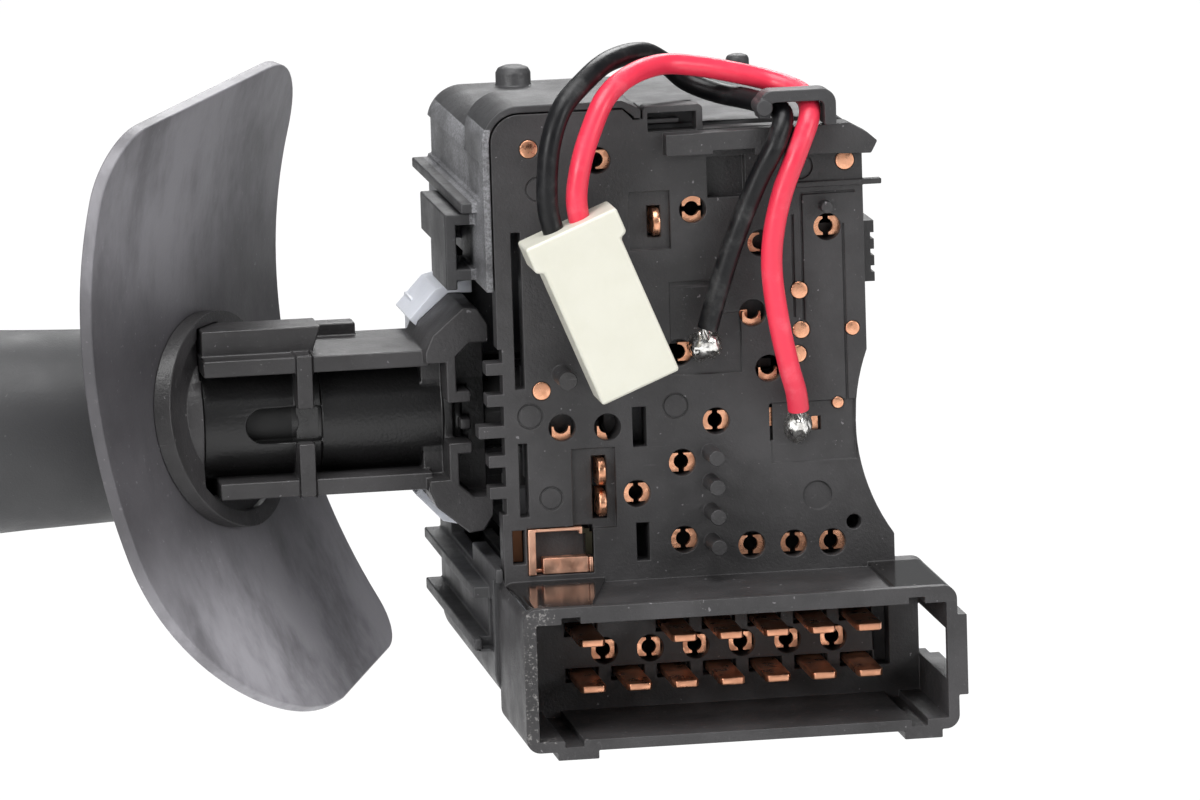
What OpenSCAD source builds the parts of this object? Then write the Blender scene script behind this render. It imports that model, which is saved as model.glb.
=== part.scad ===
// Steering column combination stalk switch, seen from its connector side.
// X runs along the lever, Y from the contact plate to the rear seat, Z up.
// The origin is on the rear seat face, level with the lever axis.

/* [Housing] */
// Width of the housing across its side walls
housing_w = 41.4; // [40:0.2:46]
// Depth from the face of the contact plate to the rear seat
housing_depth = 43; // [42:0.5:50]
// Height of the raised front band above the lever axis
band_top = 34.9; // [34:0.1:38]
// Depth of the raised front band
band_depth = 13; // [10:0.5:18]
// Height of the rear roof above the lever axis
roof_top = 31.9; // [31:0.1:34]
// Depth of the housing floor below the lever axis
housing_bottom = 30.6; // [30:0.2:34]
// Thickness of the housing walls
wall = 1.6; // [1.2:0.1:2]
// Thickness of the lip round the contact plate
lip = 0.8; // [0.6:0.1:1.2]
// Radius of the steering column recess
column_r = 22; // [20:0.5:24]
// Diameter of the two locating pegs on the roof
peg_d = 3.9; // [3:0.1:5]
// Height of the locating pegs
peg_h = 2.2; // [1.5:0.1:4]

/* [Contact plate] */
// Thickness of the contact plate
plate_t = 2.6; // [2.4:0.1:3.2]
// Thickness of the plastic skin over the lead frame
skin_t = 1; // [0.8:0.1:1.2]
// Thickness of the copper lead frame
copper_t = 0.8; // [0.6:0.1:1]
// Width of the lead frame strips
strip_w = 2; // [1.6:0.1:2.4]
// Diameter of the round access holes
access_d = 2.9; // [2.4:0.1:3.4]
// Projection of the strap rail in front of the plate
rail_h = 2; // [1:0.1:3]

/* [Connector] */
// Distance between neighbouring blades
pitch = 5; // [4.6:0.05:5.1]
// Width of a blade
blade_w = 2.8; // [2:0.1:3]
// Thickness of a blade
blade_t = 0.8; // [0.5:0.1:1]
// Length of the blades in front of the plate
blade_l = 8.3; // [7:0.1:13]
// Number of positions in a row
blade_n = 7; // [5:1:7]
// Depth of the connector shroud in front of the plate
shroud_d = 16; // [14:0.5:20]
// Height of the connector shroud
shroud_h = 15.5; // [15:0.1:17]
// Thickness of the shroud walls
shroud_wall = 1.2; // [1:0.1:1.6]

/* [Lever] */
// Distance of the lever axis behind the face of the plate
lever_depth = 18; // [17:0.2:20]
// Distance of the lever pivot from the middle of the housing
pivot_x = -4; // [-5:0.5:-3]
// Outer diameter of the neck tube
neck_d = 13.2; // [12.8:0.1:13.8]
// Length of the neck in front of the claw
neck_l = 24; // [20:0.5:30]
// Thickness of the neck rails
neck_rail_t = 1.8; // [1.2:0.1:2.4]
// Diameter of the steel pin that carries the lever
pin_d = 3; // [2.5:0.1:3.4]
// Diameter of the trunnions of the swivel block
trunnion_d = 5; // [4:0.1:5.6]
// Diameter of the detent plunger
plunger_d = 4; // [3:0.1:5]

/* [Shield] */
// Width of the shield, front to back
shield_w = 42; // [38:1:46]
// Height of the shield above the lever axis
shield_top = 36; // [32:0.5:40]
// Drop of the shield below the lever axis
shield_drop = 32; // [30:0.5:38]
// Thickness of the shield
shield_t = 1.4; // [1:0.1:2]
// Slant of the shield in plan
shield_slant = 31; // [20:1:33]
// Bend radius of the lower half
shield_low_r = 90; // [70:1:120]
// Bend radius of the upper half
shield_up_r = 70; // [60:1:120]
// Outer diameter of the collar that holds the shield
collar_d = 23.6; // [22.4:0.1:25]
// Height of the collar above the shield
collar_h = 1.6; // [1:0.1:3]

/* [Handle] */
// Diameter of the handle behind the shield
handle_root_d = 20.8; // [20:0.1:23]
// Diameter of the handle at its rings
handle_d = 24.4; // [23.4:0.1:27]
// Length of the fixed handle sleeve
sleeve_l = 60; // [50:1:80]
// Width of the fog lamp ring
fog_ring_l = 16; // [14:0.5:20]
// Width of the fixed marker ring
marker_l = 8.5; // [7:0.5:12]
// Length of the light knob
knob_l = 44; // [36:1:52]
// Diameter of the push button in the end of the knob
button_d = 17.6; // [14:0.2:18.4]
// Travel of the push button
button_travel = 2.5; // [1.5:0.1:2.8]

/* [Wires] */
// Diameter of the insulated wires
wire_d = 2.3; // [1.8:0.1:2.4]
// Width of the plug body
plug_w = 9; // [8.6:0.1:10]
// Length of the plug
plug_l = 18.8; // [16:0.2:20]
// Thickness of the plug body
plug_t = 6; // [5.6:0.1:7]

/* [Fits] */
// Clearance between moving pieces
run_gap = 0.3; // [0.25:0.01:0.4]
// Radial clearance of shafts in their bores
shaft_gap = 0.05; // [0.03:0.01:0.08]
// Clearance round pieces that are fixed in place
seat_gap = 0.05; // [0.02:0.01:0.1]

/* [Hidden] */
$fn = 48;

// Reference planes
face_y = -housing_depth;
axis_y = face_y + lever_depth;
half_w = housing_w / 2;
past = 1;                            // how far a cut runs past a face

// Contact plate, and the size of face on which its pattern was laid out
plate_inset = lip + 0.15;
plate_half = half_w - plate_inset;
plate_top = band_top - plate_inset;
plate_edge = 0.4;                    // inset of the plate where it has no lip
step_x = -3.5;                       // where the raised band ends
lip_end_z = band_top - 2;            // the lip stops here at the end of the band
pattern_half = 19.75;
pattern_top = 33.95;
function at(x, z) = [x * plate_half / pattern_half, z * plate_top / pattern_top];
function fx(x) = x * plate_half / pattern_half;
function fz(z) = z * plate_top / pattern_top;

// Steering column recess in the right side
column_x = half_w + column_r - 1.8;
column_z = -1;
foot_x = half_w + 2.5;               // flare of the foot towards the connector
foot_top = -8;

// Connector
shroud_top = -16.5;
shroud_bottom = shroud_top - shroud_h;
shroud_x = [-half_w + 0.5, half_w + 5.7];
row_x = 3.3;                         // middle of the blade rows
row_gap = 5;
upper_z = shroud_top - 5.5;
lower_z = upper_z - row_gap;
mid_z = (upper_z + lower_z) / 2;
blade_x = [for (i = [0:blade_n - 1]) row_x + (i - (blade_n - 1) / 2) * pitch];
empty_upper = 1;                     // the upper row has no blade in this position
port_w = blade_w + 0.8;
port_h = blade_t + 0.7;

// Access holes: x, z and the sides on which cut copper shows
access = [[-8.4, 28.6, "R"], [1.8, 22.8, "TB"], [16.3, 20.2, "LR"], [9.1, 18.8, "L"],
    [8, 11.3, "B"], [9.6, 5.2, "B"], [-0.1, 7.4, "R"], [-13, 0, "B"], [-8.1, -0.2, "B"],
    [3.7, -0.2, "LR"], [-0.1, -4.5, "LR"], [-5.1, -7.6, "LR"], [-0.1, -12.9, "LR"],
    [7.2, -13.9, "LR"], [11.8, -14, "LR"], [16, -14.1, "LR"]];
// Rivet heads: x, z and diameter
rivets = [[-15.7, 30.2, 1.9], [18.4, 27.3, 2], [-15.1, 4.1, 1.9], [13.1, 13.5, 1.8],
    [13.2, 9.2, 1.8], [12.8, 6.6, 1.8], [18.8, 9.1, 1.5], [17, 1.1, 1.2]];
// Pins on the face: x, z, diameter and height
studs = [[-12.9, 5.8, 2, 4.8], [2.9, -3.5, 1.7, 4.6], [2.9, -6.7, 1.7, 4.6],
    [2.9, -9.9, 1.7, 4.6], [2.9, -13.2, 1.7, 4.6], [16.1, 22.5, 1.3, 1.6]];
// Ejector marks: x, z and diameter
marks = [[-14.8, 25.8, 2.8], [-16.4, 1.4, 2.8], [-14.4, -7.6, 2.6], [-0.7, 1.7, 2.8],
    [13.5, 26.9, 2.8]];
mark_groove = 0.2;
sink = [14.5, -8.9, 3.1];            // sunken mark
// Through slots: left, bottom, right, top
slots = [[-17.9, 4.4, -16.9, 21.3], [-17.8, -9.5, -16.85, -1.5], [-5.4, -2.5, -3.9, 1.8],
    [-5.3, -14.9, -3.9, -10.8]];
// Pockets of the blade contacts, and the blades in them
pockets = [[-5.1, 18.7, -0.7, 25], [-12.1, -11.1, -7.4, -2.4]];
pocket_slots = [[-3.1, 20, -1.7, 23.4], [-9.9, -10.1, -8.4, -3.3]];
blade_spots = [[-2.3, 21.7, 2.9], [-9, -5, 3], [-9, -8.4, 2.9]];
blade_proud = 1.2;                   // how far the rounded blades stand out of the plate
pocket_depth = 0.5;
// Solder pads, and the wire slots in them
pads = [[-1, 5, 4.7, 15.1], [4.7, 5, 6.6, 11.5], [9.6, -5.1, 18.9, 1.4]];
pad_depth = 0.25;
black_pad = [2.9, 8.1];
red_pad = [12.6, -1.1];
pad_slot = [14.1, -1.8, 15.1, -0.3];
pad_edge = [9.5, -2.7, 9.85, 1.3];   // narrow cut beside the red solder pad
// Shallow recess below the rail, and the snap window in the top edge
recess = [3.45, 24, 7.55, 28.4];
recess_depth = 1.3;
window = [-2.8, 31.4, 2.45, 33.4];
window_bar = [-3.2, 32.1, 0.8, 32.6];
window_frame = [3.15, 34.15];        // right end and top of the frame round the window
// Grooves that outline the panels: left, bottom, right, top
groove_w = 0.25;
grooves = [[12.4, 10.6, 12.65, 21.7], [13.4, 10.2, 13.65, 24],
    [13.4, 23.8, 19.4, 24.05], [17.9, -1, 18.15, 20.5]];
ridge_z = [24.6, 25.2];              // thin ridge that ends in a spike past the right edge
tooth_h = 1.3;
tooth_z = [6.7, 3.3, -0.1, -3.3, -6.7];
tooth_l = [1.3, 1.3, 2.3, 1.3, 1.3];
comb_notch = [-9.1, 8.8];            // lower and upper end of the toothed stretch

// Lead frame strips: x and z of both ends, in the plane of the plate
strips = [[-8.4, 28.6, -2.5, 28.6], [1.8, 26.6, 1.8, 18.8], [13.4, 20.2, 18.4, 20.2],
    [5.8, 18.8, 9.1, 18.8], [8, 11.3, 8, 7.9], [9.6, 5.2, 9.6, 2.6], [-0.1, 7.4, 2.9, 7.4],
    [-13, 0, -13, -3.4], [-8.1, -0.2, -8.1, -3.2], [0.9, -0.2, 9.3, -0.2],
    [-2.9, -4.6, 2.9, -4.6], [-8, -7.6, -2.3, -7.6], [-2.8, -12.9, 2.6, -12.9],
    [4.9, -14, 18.6, -14], [13.9, -6.5, 13.9, 0.6]];
punch_r = 0.8;                       // hole punched through a strip inside an access hole

// Lever
neck_r = neck_d / 2;
rail_z = [neck_r - 0.8, neck_r - 0.8 + neck_rail_t];
rail_d = [lever_depth - 8, lever_depth + 8];
claw_x = [-half_w - 5.5, -half_w + 1.2];
claw_d = [lever_depth - 10, lever_depth + 6];
neck_end = claw_x[0] - neck_l;
shield_x = -half_w - 30.2;
eye_half = 4.6;                      // half the height of the lever eye
arm_t = 3.6;                         // thickness of the swivel arms
arm_x = [pivot_x - 4, pivot_x + 4];
swivel_d = [lever_depth - 11, lever_depth + 14];
swivel_front_t = 2.4;
rear_bore_end = housing_depth - wall - 2;   // bottom of the rear trunnion bore
detent_d = swivel_d[1] - 3;          // depth of the detent plunger
detent_block_d = [swivel_d[1] - 5.8, swivel_d[1]];
detent_mouth = pivot_x + 13.5;
detent_bore = [pivot_x + 0.5, detent_mouth];
plunger_root = pivot_x + 7;
tip_r = 1.5;
tip_reach = 18.2;                    // distance of the plunger tip from the pivot
trunnion_r = trunnion_d / 2;
trunnion_l = 3.3;
boss_d = plate_t + 3.6;              // end of the front bearing boss
peg_arm = 10.5;                      // distance of the turn peg from the pivot
peg_r = 1.4;

// Shafts inside the lever
rod_r = 1.5;
shaft_bore_r = rod_r + 2 * shaft_gap;
shaft_r = 3.2;
fog_bore_r = shaft_r + 2 * shaft_gap;
fog_r = 4.8;
core_bore_r = fog_r + 2 * shaft_gap;
core_r = 5.8;
finger_r = 1.1;
fog_finger_x = -15;
light_finger_x = -12.3;
light_reach = 9;                     // distance of the light finger from the lever axis
fog_reach = 10;
fork_gap = 2.15;                     // play of a fork round its finger

// Shield: a sheet bent in two arcs, slanted in plan
valley_z = 14;                       // where the two arcs meet
shield_near_r = 7;
shield_far_r = 8;
shield_heel_r = 21;
shield_toe_r = 5;
collar_bore_r = collar_d / 2 - 1.8;

// Handle, from the shield outwards
sleeve_end = shield_x - sleeve_l;
fog_x = [sleeve_end - run_gap - fog_ring_l, sleeve_end - run_gap];
marker_x = [fog_x[0] - run_gap - marker_l, fog_x[0] - run_gap];
knob_x = [marker_x[0] - run_gap - knob_l, marker_x[0] - run_gap];
handle_r = handle_d / 2;
ring_bore_r = core_r + run_gap;
hub_x = [knob_x[0] + 4.6, knob_x[0] + 7.2];
button_h = 5.4;
button_out = 3.6;                    // how far the button stands out of the knob
key_half = 16;                       // half angle of the fog ring keys
key_window = 42;                     // half angle of the windows for those keys

// Points given as X, distance in front of the plate, Z
function off_face(points) = [for (p = points) [p[0], face_y - p[1], p[2]]];

// Routes of the two wires, solder joint first
red_route = off_face([[12.3, 2.1, 0.9], [12, 2.5, 3], [11.2, 2.9, 6], [10.2, 3.2, 11],
    [9.6, 3.4, 16.3], [9.9, 3.6, 20.6], [11, 3.8, 25], [12.7, 3.8, 29.2], [14.3, 2.4, 32.8],
    [14.1, -1, 34.6], [11.4, -3.6, 35.7], [7.1, -3.8, 36.9], [2.6, -3.2, 37.9], [-1, -2, 38.3],
    [-4.9, 2, 37.8], [-8, 5, 36], [-10, 6.6, 32.6], [-11.2, 7.3, 29.4], [-11.8, 7.4, 26.2],
    [-11.61, 7.4, 23.6], [-10.9, 7.4, 21.7]]);
black_route = off_face([[2.7, 2, 10.2], [3.7, 2.3, 13.6], [5.6, 2.8, 19.4], [8.2, 3.4, 25.8],
    [10.3, 3.9, 30], [11.4, 2, 33], [9.2, -2, 33.9], [5.8, -5.6, 34.5], [2.8, -7.4, 35.7],
    [0.6, -7.4, 37.6], [-2.4, -5, 39.3], [-6.8, 0, 39.2], [-10.2, 4, 37.6], [-12.9, 6.2, 35.2],
    [-14.4, 7.2, 31.6], [-14.9, 7.4, 27.8], [-14.9, 7.4, 24.8], [-14.39, 7.4, 22.4],
    [-13.7, 7.4, 20.6]]);

// Plug: place of the middle of its flange, and its lean
plug_at = [-13, face_y - 7.4, 23];
plug_lean = 22;
flange_w = 10.6;
flange_t = 2.9;
plug_pitch = 3;

module slab(x, d, z) {
    translate([x[0], face_y + d[0], z[0]]) cube([x[1] - x[0], d[1] - d[0], z[1] - z[0]]);
}

module prism(d) {
    translate([0, face_y + d[1], 0]) rotate([90, 0, 0]) linear_extrude(d[1] - d[0]) children();
}

module rod_y(x, z, r, d) {
    translate([x, face_y + d[0], z]) rotate([-90, 0, 0]) cylinder(r = r, h = d[1] - d[0]);
}

module rod_x(x, r, y = axis_y, z = 0) {
    translate([x[0], y, z]) rotate([0, 90, 0]) cylinder(r = r, h = x[1] - x[0]);
}

module rod_z(x, y, r, z) {
    translate([x, y, z[0]]) cylinder(r = r, h = z[1] - z[0]);
}

module tube_x(x, r, bore) {
    difference() {
        rod_x(x, r);
        rod_x([x[0] - past, x[1] + past], bore);
    }
}

module rect(b) {
    translate([b[0], b[1]]) square([b[2] - b[0], b[3] - b[1]]);
}

module face_rect(b) {
    rect([fx(b[0]), fz(b[1]), fx(b[2]), fz(b[3])]);
}

module rounded(x, z, r) {
    translate([x[0] + r, z[0]]) square([x[1] - x[0] - 2 * r, z[1] - z[0]]);
    translate([x[0], z[0] + r]) square([x[1] - x[0], z[1] - z[0] - 2 * r]);
    for (cx = [x[0] + r, x[1] - r], cz = [z[0] + r, z[1] - r])
        translate([cx, cz]) circle(r = r);
}

// Solid swept along a path of points
function unit(v) = v / norm(v);
function along(p, i) = unit(p[min(i + 1, len(p) - 1)] - p[max(i - 1, 0)]);
function blend(a, b, c, d, t) = 0.5 * ((2 * b) + (c - a) * t + (2 * a - 5 * b + 4 * c - d) * t * t
    + (3 * b - a - 3 * c + d) * t * t * t);
function smooth(p, n) = [for (i = [0:len(p) - 2], j = [0:n - 1])
    blend(p[max(i - 1, 0)], p[i], p[i + 1], p[min(i + 2, len(p) - 1)], j / n), p[len(p) - 1]];

module sweep(p, r, sides, up = [0, 1, 0]) {
    rings = [for (i = [0:len(p) - 1]) let (t = along(p, i), n = unit(cross(t, up)), b = cross(t, n))
        for (k = [0:sides - 1]) p[i] + r * (cos(360 * k / sides) * n + sin(360 * k / sides) * b)];
    walls = [for (i = [0:len(p) - 2], k = [0:sides - 1]) let (m = (k + 1) % sides)
        [i * sides + k, i * sides + m, (i + 1) * sides + m, (i + 1) * sides + k]];
    caps = [[for (k = [sides - 1:-1:0]) k], [for (k = [0:sides - 1]) (len(p) - 1) * sides + k]];
    polyhedron(rings, concat(walls, caps));
}

module coil(x, y, z, r, wire, turns) {
    steps = 14;
    sweep([for (i = [0:turns * steps]) [x[0] + wire + (x[1] - x[0] - 2 * wire) * i / (turns * steps),
        y + r * cos(360 * i / steps), z + r * sin(360 * i / steps)]], wire, 6, [1, 0, 0]);
}

module housing_outline(inset, top) {
    difference() {
        union() {
            rounded([-half_w + inset, half_w - inset], [-housing_bottom + inset, top - inset],
                4 - inset);
            rect([0, -housing_bottom + inset, foot_x - inset, foot_top - inset]);
        }
        translate([column_x, column_z]) circle(r = column_r + inset);
    }
}

module band_outline(inset) {
    rounded([-half_w + inset, step_x - 2], [0, band_top - inset], 4 - inset);
    polygon([[step_x - 6, 0], [step_x - 6, band_top - inset], [step_x - 2, band_top - inset],
        [step_x - inset, band_top - 1 - inset], [step_x - inset, 0]]);
}

module outer_shell(inset, d) {
    prism(d) housing_outline(inset, roof_top);
    prism([d[0], min(d[1], band_depth - inset)]) band_outline(inset);
}

// Left side: guide fins and the frame of the snap hook
fin_reach = 1.8;
fin_d = [5, housing_depth];
fin_z = [[22.9, 24], [-18.9, -17.7], [-24.7, -23.4]];
hook_x = [-half_w - 3.3, -half_w + 0.6];
hook_z = [15.4, 22.6];
hook_leg_z = 14.4;
hook_t = 1.2;
opening_z = 15;
deep_opening_z = 17;

module snap_hook() {
    for (z = [hook_z[0], hook_z[1] - hook_t]) slab(hook_x, [7, 18], [z, z + hook_t]);
    slab([hook_x[0], hook_x[0] + hook_t], [7, 18], [hook_leg_z, hook_z[1]]);
    slab(hook_x, [18, 26], [deep_opening_z + 1.4, hook_z[1]]);
}

module roof_peg(x, r) {
    top = roof_top + peg_h;
    rod_z(x, -3, r, [roof_top - wall / 2, top - 0.4 * r]);
    translate([x, -3, top - 0.4 * r]) cylinder(r1 = r, r2 = 0.86 * r, h = 0.26 * r);
    translate([x, -3, top - 0.14 * r]) cylinder(r1 = 0.86 * r, r2 = 0.5 * r, h = 0.14 * r);
}

module housing() {
    color("#3a393b") difference() {
        union() {
            outer_shell(0, [0, housing_depth]);
            for (z = fin_z) slab([-half_w - fin_reach, -half_w + wall / 2], fin_d, z);
            slab([half_w - 1, half_w + 1], [3, housing_depth], [24.3, 25.2]);
            snap_hook();
            slab([step_x + 0.2, 3], [plate_t + 0.05, plate_t + 4], [roof_top - wall / 2, fz(33.8)]);
            roof_peg(-11.3, peg_d / 2);
            roof_peg(13.9, peg_d / 3);
        }
        difference() {
            outer_shell(wall, [plate_t, housing_depth - wall]);
            rod_y(pivot_x, 0, trunnion_r + 2.5, [swivel_d[1] + run_gap, housing_depth]);
            slab([-15.2, -9], [plate_t + 5, housing_depth], [-16.8, -15.4]);
            slab([-16.4, -15], [plate_t + 1, housing_depth], [-housing_bottom, -18]);
        }
        outer_shell(lip, [-past, plate_t]);
        slab([-half_w - past, foot_x + past], [-past, plate_t], [-housing_bottom - past, shroud_top]);
        slab([step_x - 0.9, foot_x + past], [-past, plate_t], [-housing_bottom, lip_end_z]);
        slab([half_w - 0.2, half_w + past], [-past, housing_depth + past], [foot_top + past, 60]);
        rod_y(pivot_x, 0, trunnion_r + shaft_gap, [swivel_d[1], rear_bore_end]);
        slab([-half_w - past, -half_w + wall + past], [-past, lever_depth + 19],
            [-opening_z, opening_z]);
        slab([-half_w - 2, -half_w + wall + past], [lever_depth - 0.5, lever_depth + 16],
            [-deep_opening_z, deep_opening_z]);
        slab([-half_w - past, -half_w + wall + past], [plate_t + 1, plate_t + 4],
            [-24.6, -19]);
        slab([half_w - 4, half_w + past], finger_window_d, finger_window_z);
        slab([-half_w - past, -half_w + 0.4], [plate_t, housing_depth + past], [24.4, 28.6]);
        slab([-half_w + 0.6, -half_w + wall + past], [7, 18], [hook_z[0] + 1.4, hook_z[1] - 1.4]);
    }
}

module plate_outline() {
    difference() {
        union() {
            intersection() {
                housing_outline(plate_inset, roof_top);
                rect([-half_w, shroud_top - past, step_x + 0.2, roof_top]);
            }
            intersection() {
                housing_outline(0, roof_top - plate_edge);
                union() {
                    rect([step_x + 0.15, shroud_top - past, half_w - plate_edge, roof_top]);
                    rect([0, shroud_top - past, foot_x - plate_edge, foot_top]);
                }
            }
            intersection() {
                band_outline(plate_inset);
                rect([-half_w, 0, step_x, band_top]);
            }
            rounded([step_x + 0.15, fx(window_frame[0])], [roof_top - 4, fz(window_frame[1])], 0.6);
            rect([step_x - 1.2, roof_top - 4, step_x + 0.5, lip_end_z - 0.1]);
            for (i = [0:len(tooth_z) - 1])
                rect([-plate_half - tooth_l[i], tooth_z[i] - tooth_h / 2, -plate_half + past,
                    tooth_z[i] + tooth_h / 2]);
        }
        for (i = [0:len(tooth_z)]) {
            low = i == len(tooth_z) ? comb_notch[0] : tooth_z[i] + tooth_h / 2;
            high = i == 0 ? comb_notch[1] : tooth_z[i - 1] - tooth_h / 2;
            rect([-plate_half - past, low, -plate_half + 0.5, high]);
        }
    }
}

module strap_rail() {
    left = fx(-1.2);
    right = plate_half + 0.2;
    polygon([[left, fz(28.9)], [left, fz(31.2)], [right - 1.4, fz(31.6)], [right + 0.7, fz(30.4)],
        [right + 1.7, fz(29.5)], [right + 1.4, fz(28.9)], [right + 1, fz(28.2)],
        [fx(8.4), fz(28.6)], [fx(8.4), fz(29.3)], [fx(3.9), fz(29.3)], [fx(3.9), fz(28.9)]]);
}

module strip_shape(grow) {
    for (s = strips) {
        a = at(s[0], s[1]);
        b = at(s[2], s[3]);
        half = strip_w / 2 + grow;
        rect([min(a[0], b[0]) - half, min(a[1], b[1]) - half, max(a[0], b[0]) + half,
            max(a[1], b[1]) + half]);
    }
}

finger_z = [13.6, 20.2];
finger_d = [plate_t + run_gap, plate_t + 6.9];
finger_window_z = [finger_z[0] - run_gap, finger_z[1] + run_gap];
finger_window_d = [finger_d[0] - run_gap, finger_d[1] + run_gap];
finger_x = [6, half_w + 1.2];

module carrier_back() {
    rod_y(pivot_x, 0, trunnion_r + 1.5, [plate_t - 0.2, boss_d]);
    slab([0.6, 2], [plate_t - 0.2, finger_d[1]], finger_z);
    for (z = [finger_z[0] - run_gap - 0.6, finger_z[1] + run_gap])
        slab([finger_x[0] + 6, half_w - 5], [plate_t - 0.2, finger_d[1] - 2], [z, z + 0.6]);
    for (z = [-5.8, 4.8]) slab([5, 10.5], [plate_t - 0.2, 9], [z, z + 1]);
}

module shroud() {
    x = shroud_x;
    z = [shroud_bottom, shroud_top];
    key_x = [[x[0] + 4.1, x[0] + 6.1], [x[1] - 5.2, x[1] - 3.5]];
    difference() {
        union() {
            prism([-shroud_d, plate_t]) rounded(x, z, 1.5);
            slab([x[1] - 1, x[1] + 1], [-shroud_d, 0], [z[0] + 3.6, z[1] - 3.2]);
            for (k = key_x)
                slab([k[0] - 0.8, k[1] + 1.6], [-shroud_d, -2], [z[0] - 0.9, z[0] + 0.5]);
        }
        slab([x[0] + shroud_wall + 0.2, x[1] - shroud_wall], [-shroud_d - past, 0],
            [z[0] + shroud_wall, z[1] - shroud_wall - 0.6]);
        for (k = key_x) slab(k, [-shroud_d - past, 0], [z[0] + 0.5, z[1] - 1.1]);
        slab([x[1] - 3, x[1] + 2], [-shroud_d + 1, -0.5], [z[0] + 5.2, z[1] - 4.8]);
        slab([x[1] - shroud_wall, x[1] + 2], [-0.6, plate_t + past], [z[0] + 5.2, z[1] - 4.8]);
        slab([x[1] - 6.2, x[1] - 4.5], [-past, plate_t - 0.3], [z[0] + 4.2, z[1] - 4.9]);
        translate([0, 0, z[1] - 0.5]) linear_extrude(2) polygon([[x[0] + 11.3, face_y],
            [x[1] - 6.6, face_y], [x[1] - 6.6, face_y - shroud_d + 1.2],
            [x[0] + 7.6, face_y - shroud_d + 1.2]]);
        for (i = [0:blade_n - 1]) {
            if (i != empty_upper) port(blade_x[i], upper_z);
            port(blade_x[i], lower_z);
        }
        for (i = [0:blade_n - 2])
            rod_y(blade_x[i] + pitch / 2, mid_z, access_d / 2, [-past, plate_t + past]);
    }
}

// Copper showing on both sides of a hole between the blades
module header_strip(grow) {
    for (i = [0:blade_n - 2]) translate([blade_x[i] + pitch / 2, mid_z])
        square([access_d - 0.4 + 2 * grow, strip_w + 2 * grow], center = true);
}

module port(x, z) {
    slab([x - port_w / 2, x + port_w / 2], [-past, plate_t - 1], [z - port_h / 2, z + port_h / 2]);
    slab([x - blade_w / 2 - seat_gap, x + blade_w / 2 + seat_gap], [-past, plate_t + past],
        [z - blade_t / 2 - seat_gap, z + blade_t / 2 + seat_gap]);
}

// Ground strap: its recess, the window of its left tab, and its bars with their front and back
strap_box = [-17.15, -15.9, -10, -10.75];
strap_tab = [-18.75, -14.6, -17.4, -10.9];
strap_d = 1.7;
strap_bars = [[[-17.1, -15.8, -16.3, -10.85], -0.3], [[-17.1, -11.2, -11, -10.85], 0],
    [[-15.5, -15.8, -10.6, -14.1], 0.1], [[-10.5, -15.8, -10.1, -14.2], 0],
    [[-10.9, -13.9, -10.1, -11.4], 0], [[-11.5, -11.6, -10.4, -11], 0]];

module contact_carrier() {
    color("#3a3838") difference() {
        union() {
            prism([0, plate_t]) plate_outline();
            prism([-rail_h, 1]) strap_rail();
            shroud();
            carrier_back();
            for (s = studs) rod_y(fx(s[0]), fz(s[1]), s[2] / 2, [-s[3], 1]);
            slab([fx(13), half_w + 1.6], [-0.3, 0.8], ridge_z);
        }
        for (s = slots) prism([-past, plate_t + past]) face_rect(s);
        for (a = access) rod_y(fx(a[0]), fz(a[1]), access_d / 2, [-past, plate_t + past]);
        for (m = marks) rod_y(fx(m[0]), fz(m[1]), m[2] / 2 - mark_groove, [-past, 0.08]);
        for (m = marks) prism([-past, 0.2]) translate(at(m[0], m[1])) difference() {
            circle(d = m[2]);
            circle(d = m[2] - 2 * mark_groove);
        }
        rod_y(fx(sink[0]), fz(sink[1]), sink[2] / 2, [-past, 0.3]);
        rod_y(fx(18.4), fz(-12), 0.8, [-past, plate_t + past]);
        for (p = pockets) prism([-past, pocket_depth]) face_rect(p);
        for (p = pocket_slots) prism([-past, plate_t + past]) face_rect(p);
        for (p = pads) prism([-past, pad_depth]) face_rect(p);
        for (p = [pad_slot, pad_edge]) prism([-past, skin_t + 0.1]) face_rect(p);
        prism([-past, recess_depth]) face_rect(recess);
        prism([-past, 1.3]) face_rect(window);
        prism([1.2, plate_t + past]) difference() {
            face_rect(window);
            face_rect(window_bar);
        }
        for (g = grooves) prism([-past, groove_w]) face_rect(g);
        for (p = [strap_box, strap_tab]) prism([-past, strap_d]) face_rect(p);
        prism([skin_t, plate_t + past]) header_strip(seat_gap);
        for (r = rivets) rod_y(fx(r[0]), fz(r[1]), r[2] / 2 + seat_gap, [-past, plate_t + past]);
        prism([skin_t, plate_t + past]) difference() {
            strip_shape(seat_gap);
            for (r = rivets) translate(at(r[0], r[1])) circle(d = r[2] + 1.2);
            translate([pivot_x, 0]) circle(r = trunnion_r + 1.7);
        }
        rod_y(pivot_x, 0, trunnion_r + shaft_gap, [plate_t + 0.6, boss_d + past]);
    }
}

// The part of a strip that is punched out of an access hole
module punched(sides) {
    reach = access_d / 2 + 0.1;
    circle(r = punch_r);
    if (sides == "LR") square([0.6, 2 * reach], center = true);
    if (sides == "TB") square([2 * reach, 0.6], center = true);
    if (sides == "R") rect([-reach, -reach, 0, reach]);
    if (sides == "L") rect([0, -reach, reach, reach]);
    if (sides == "B") rect([-reach, 0, reach, reach]);
}

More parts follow.
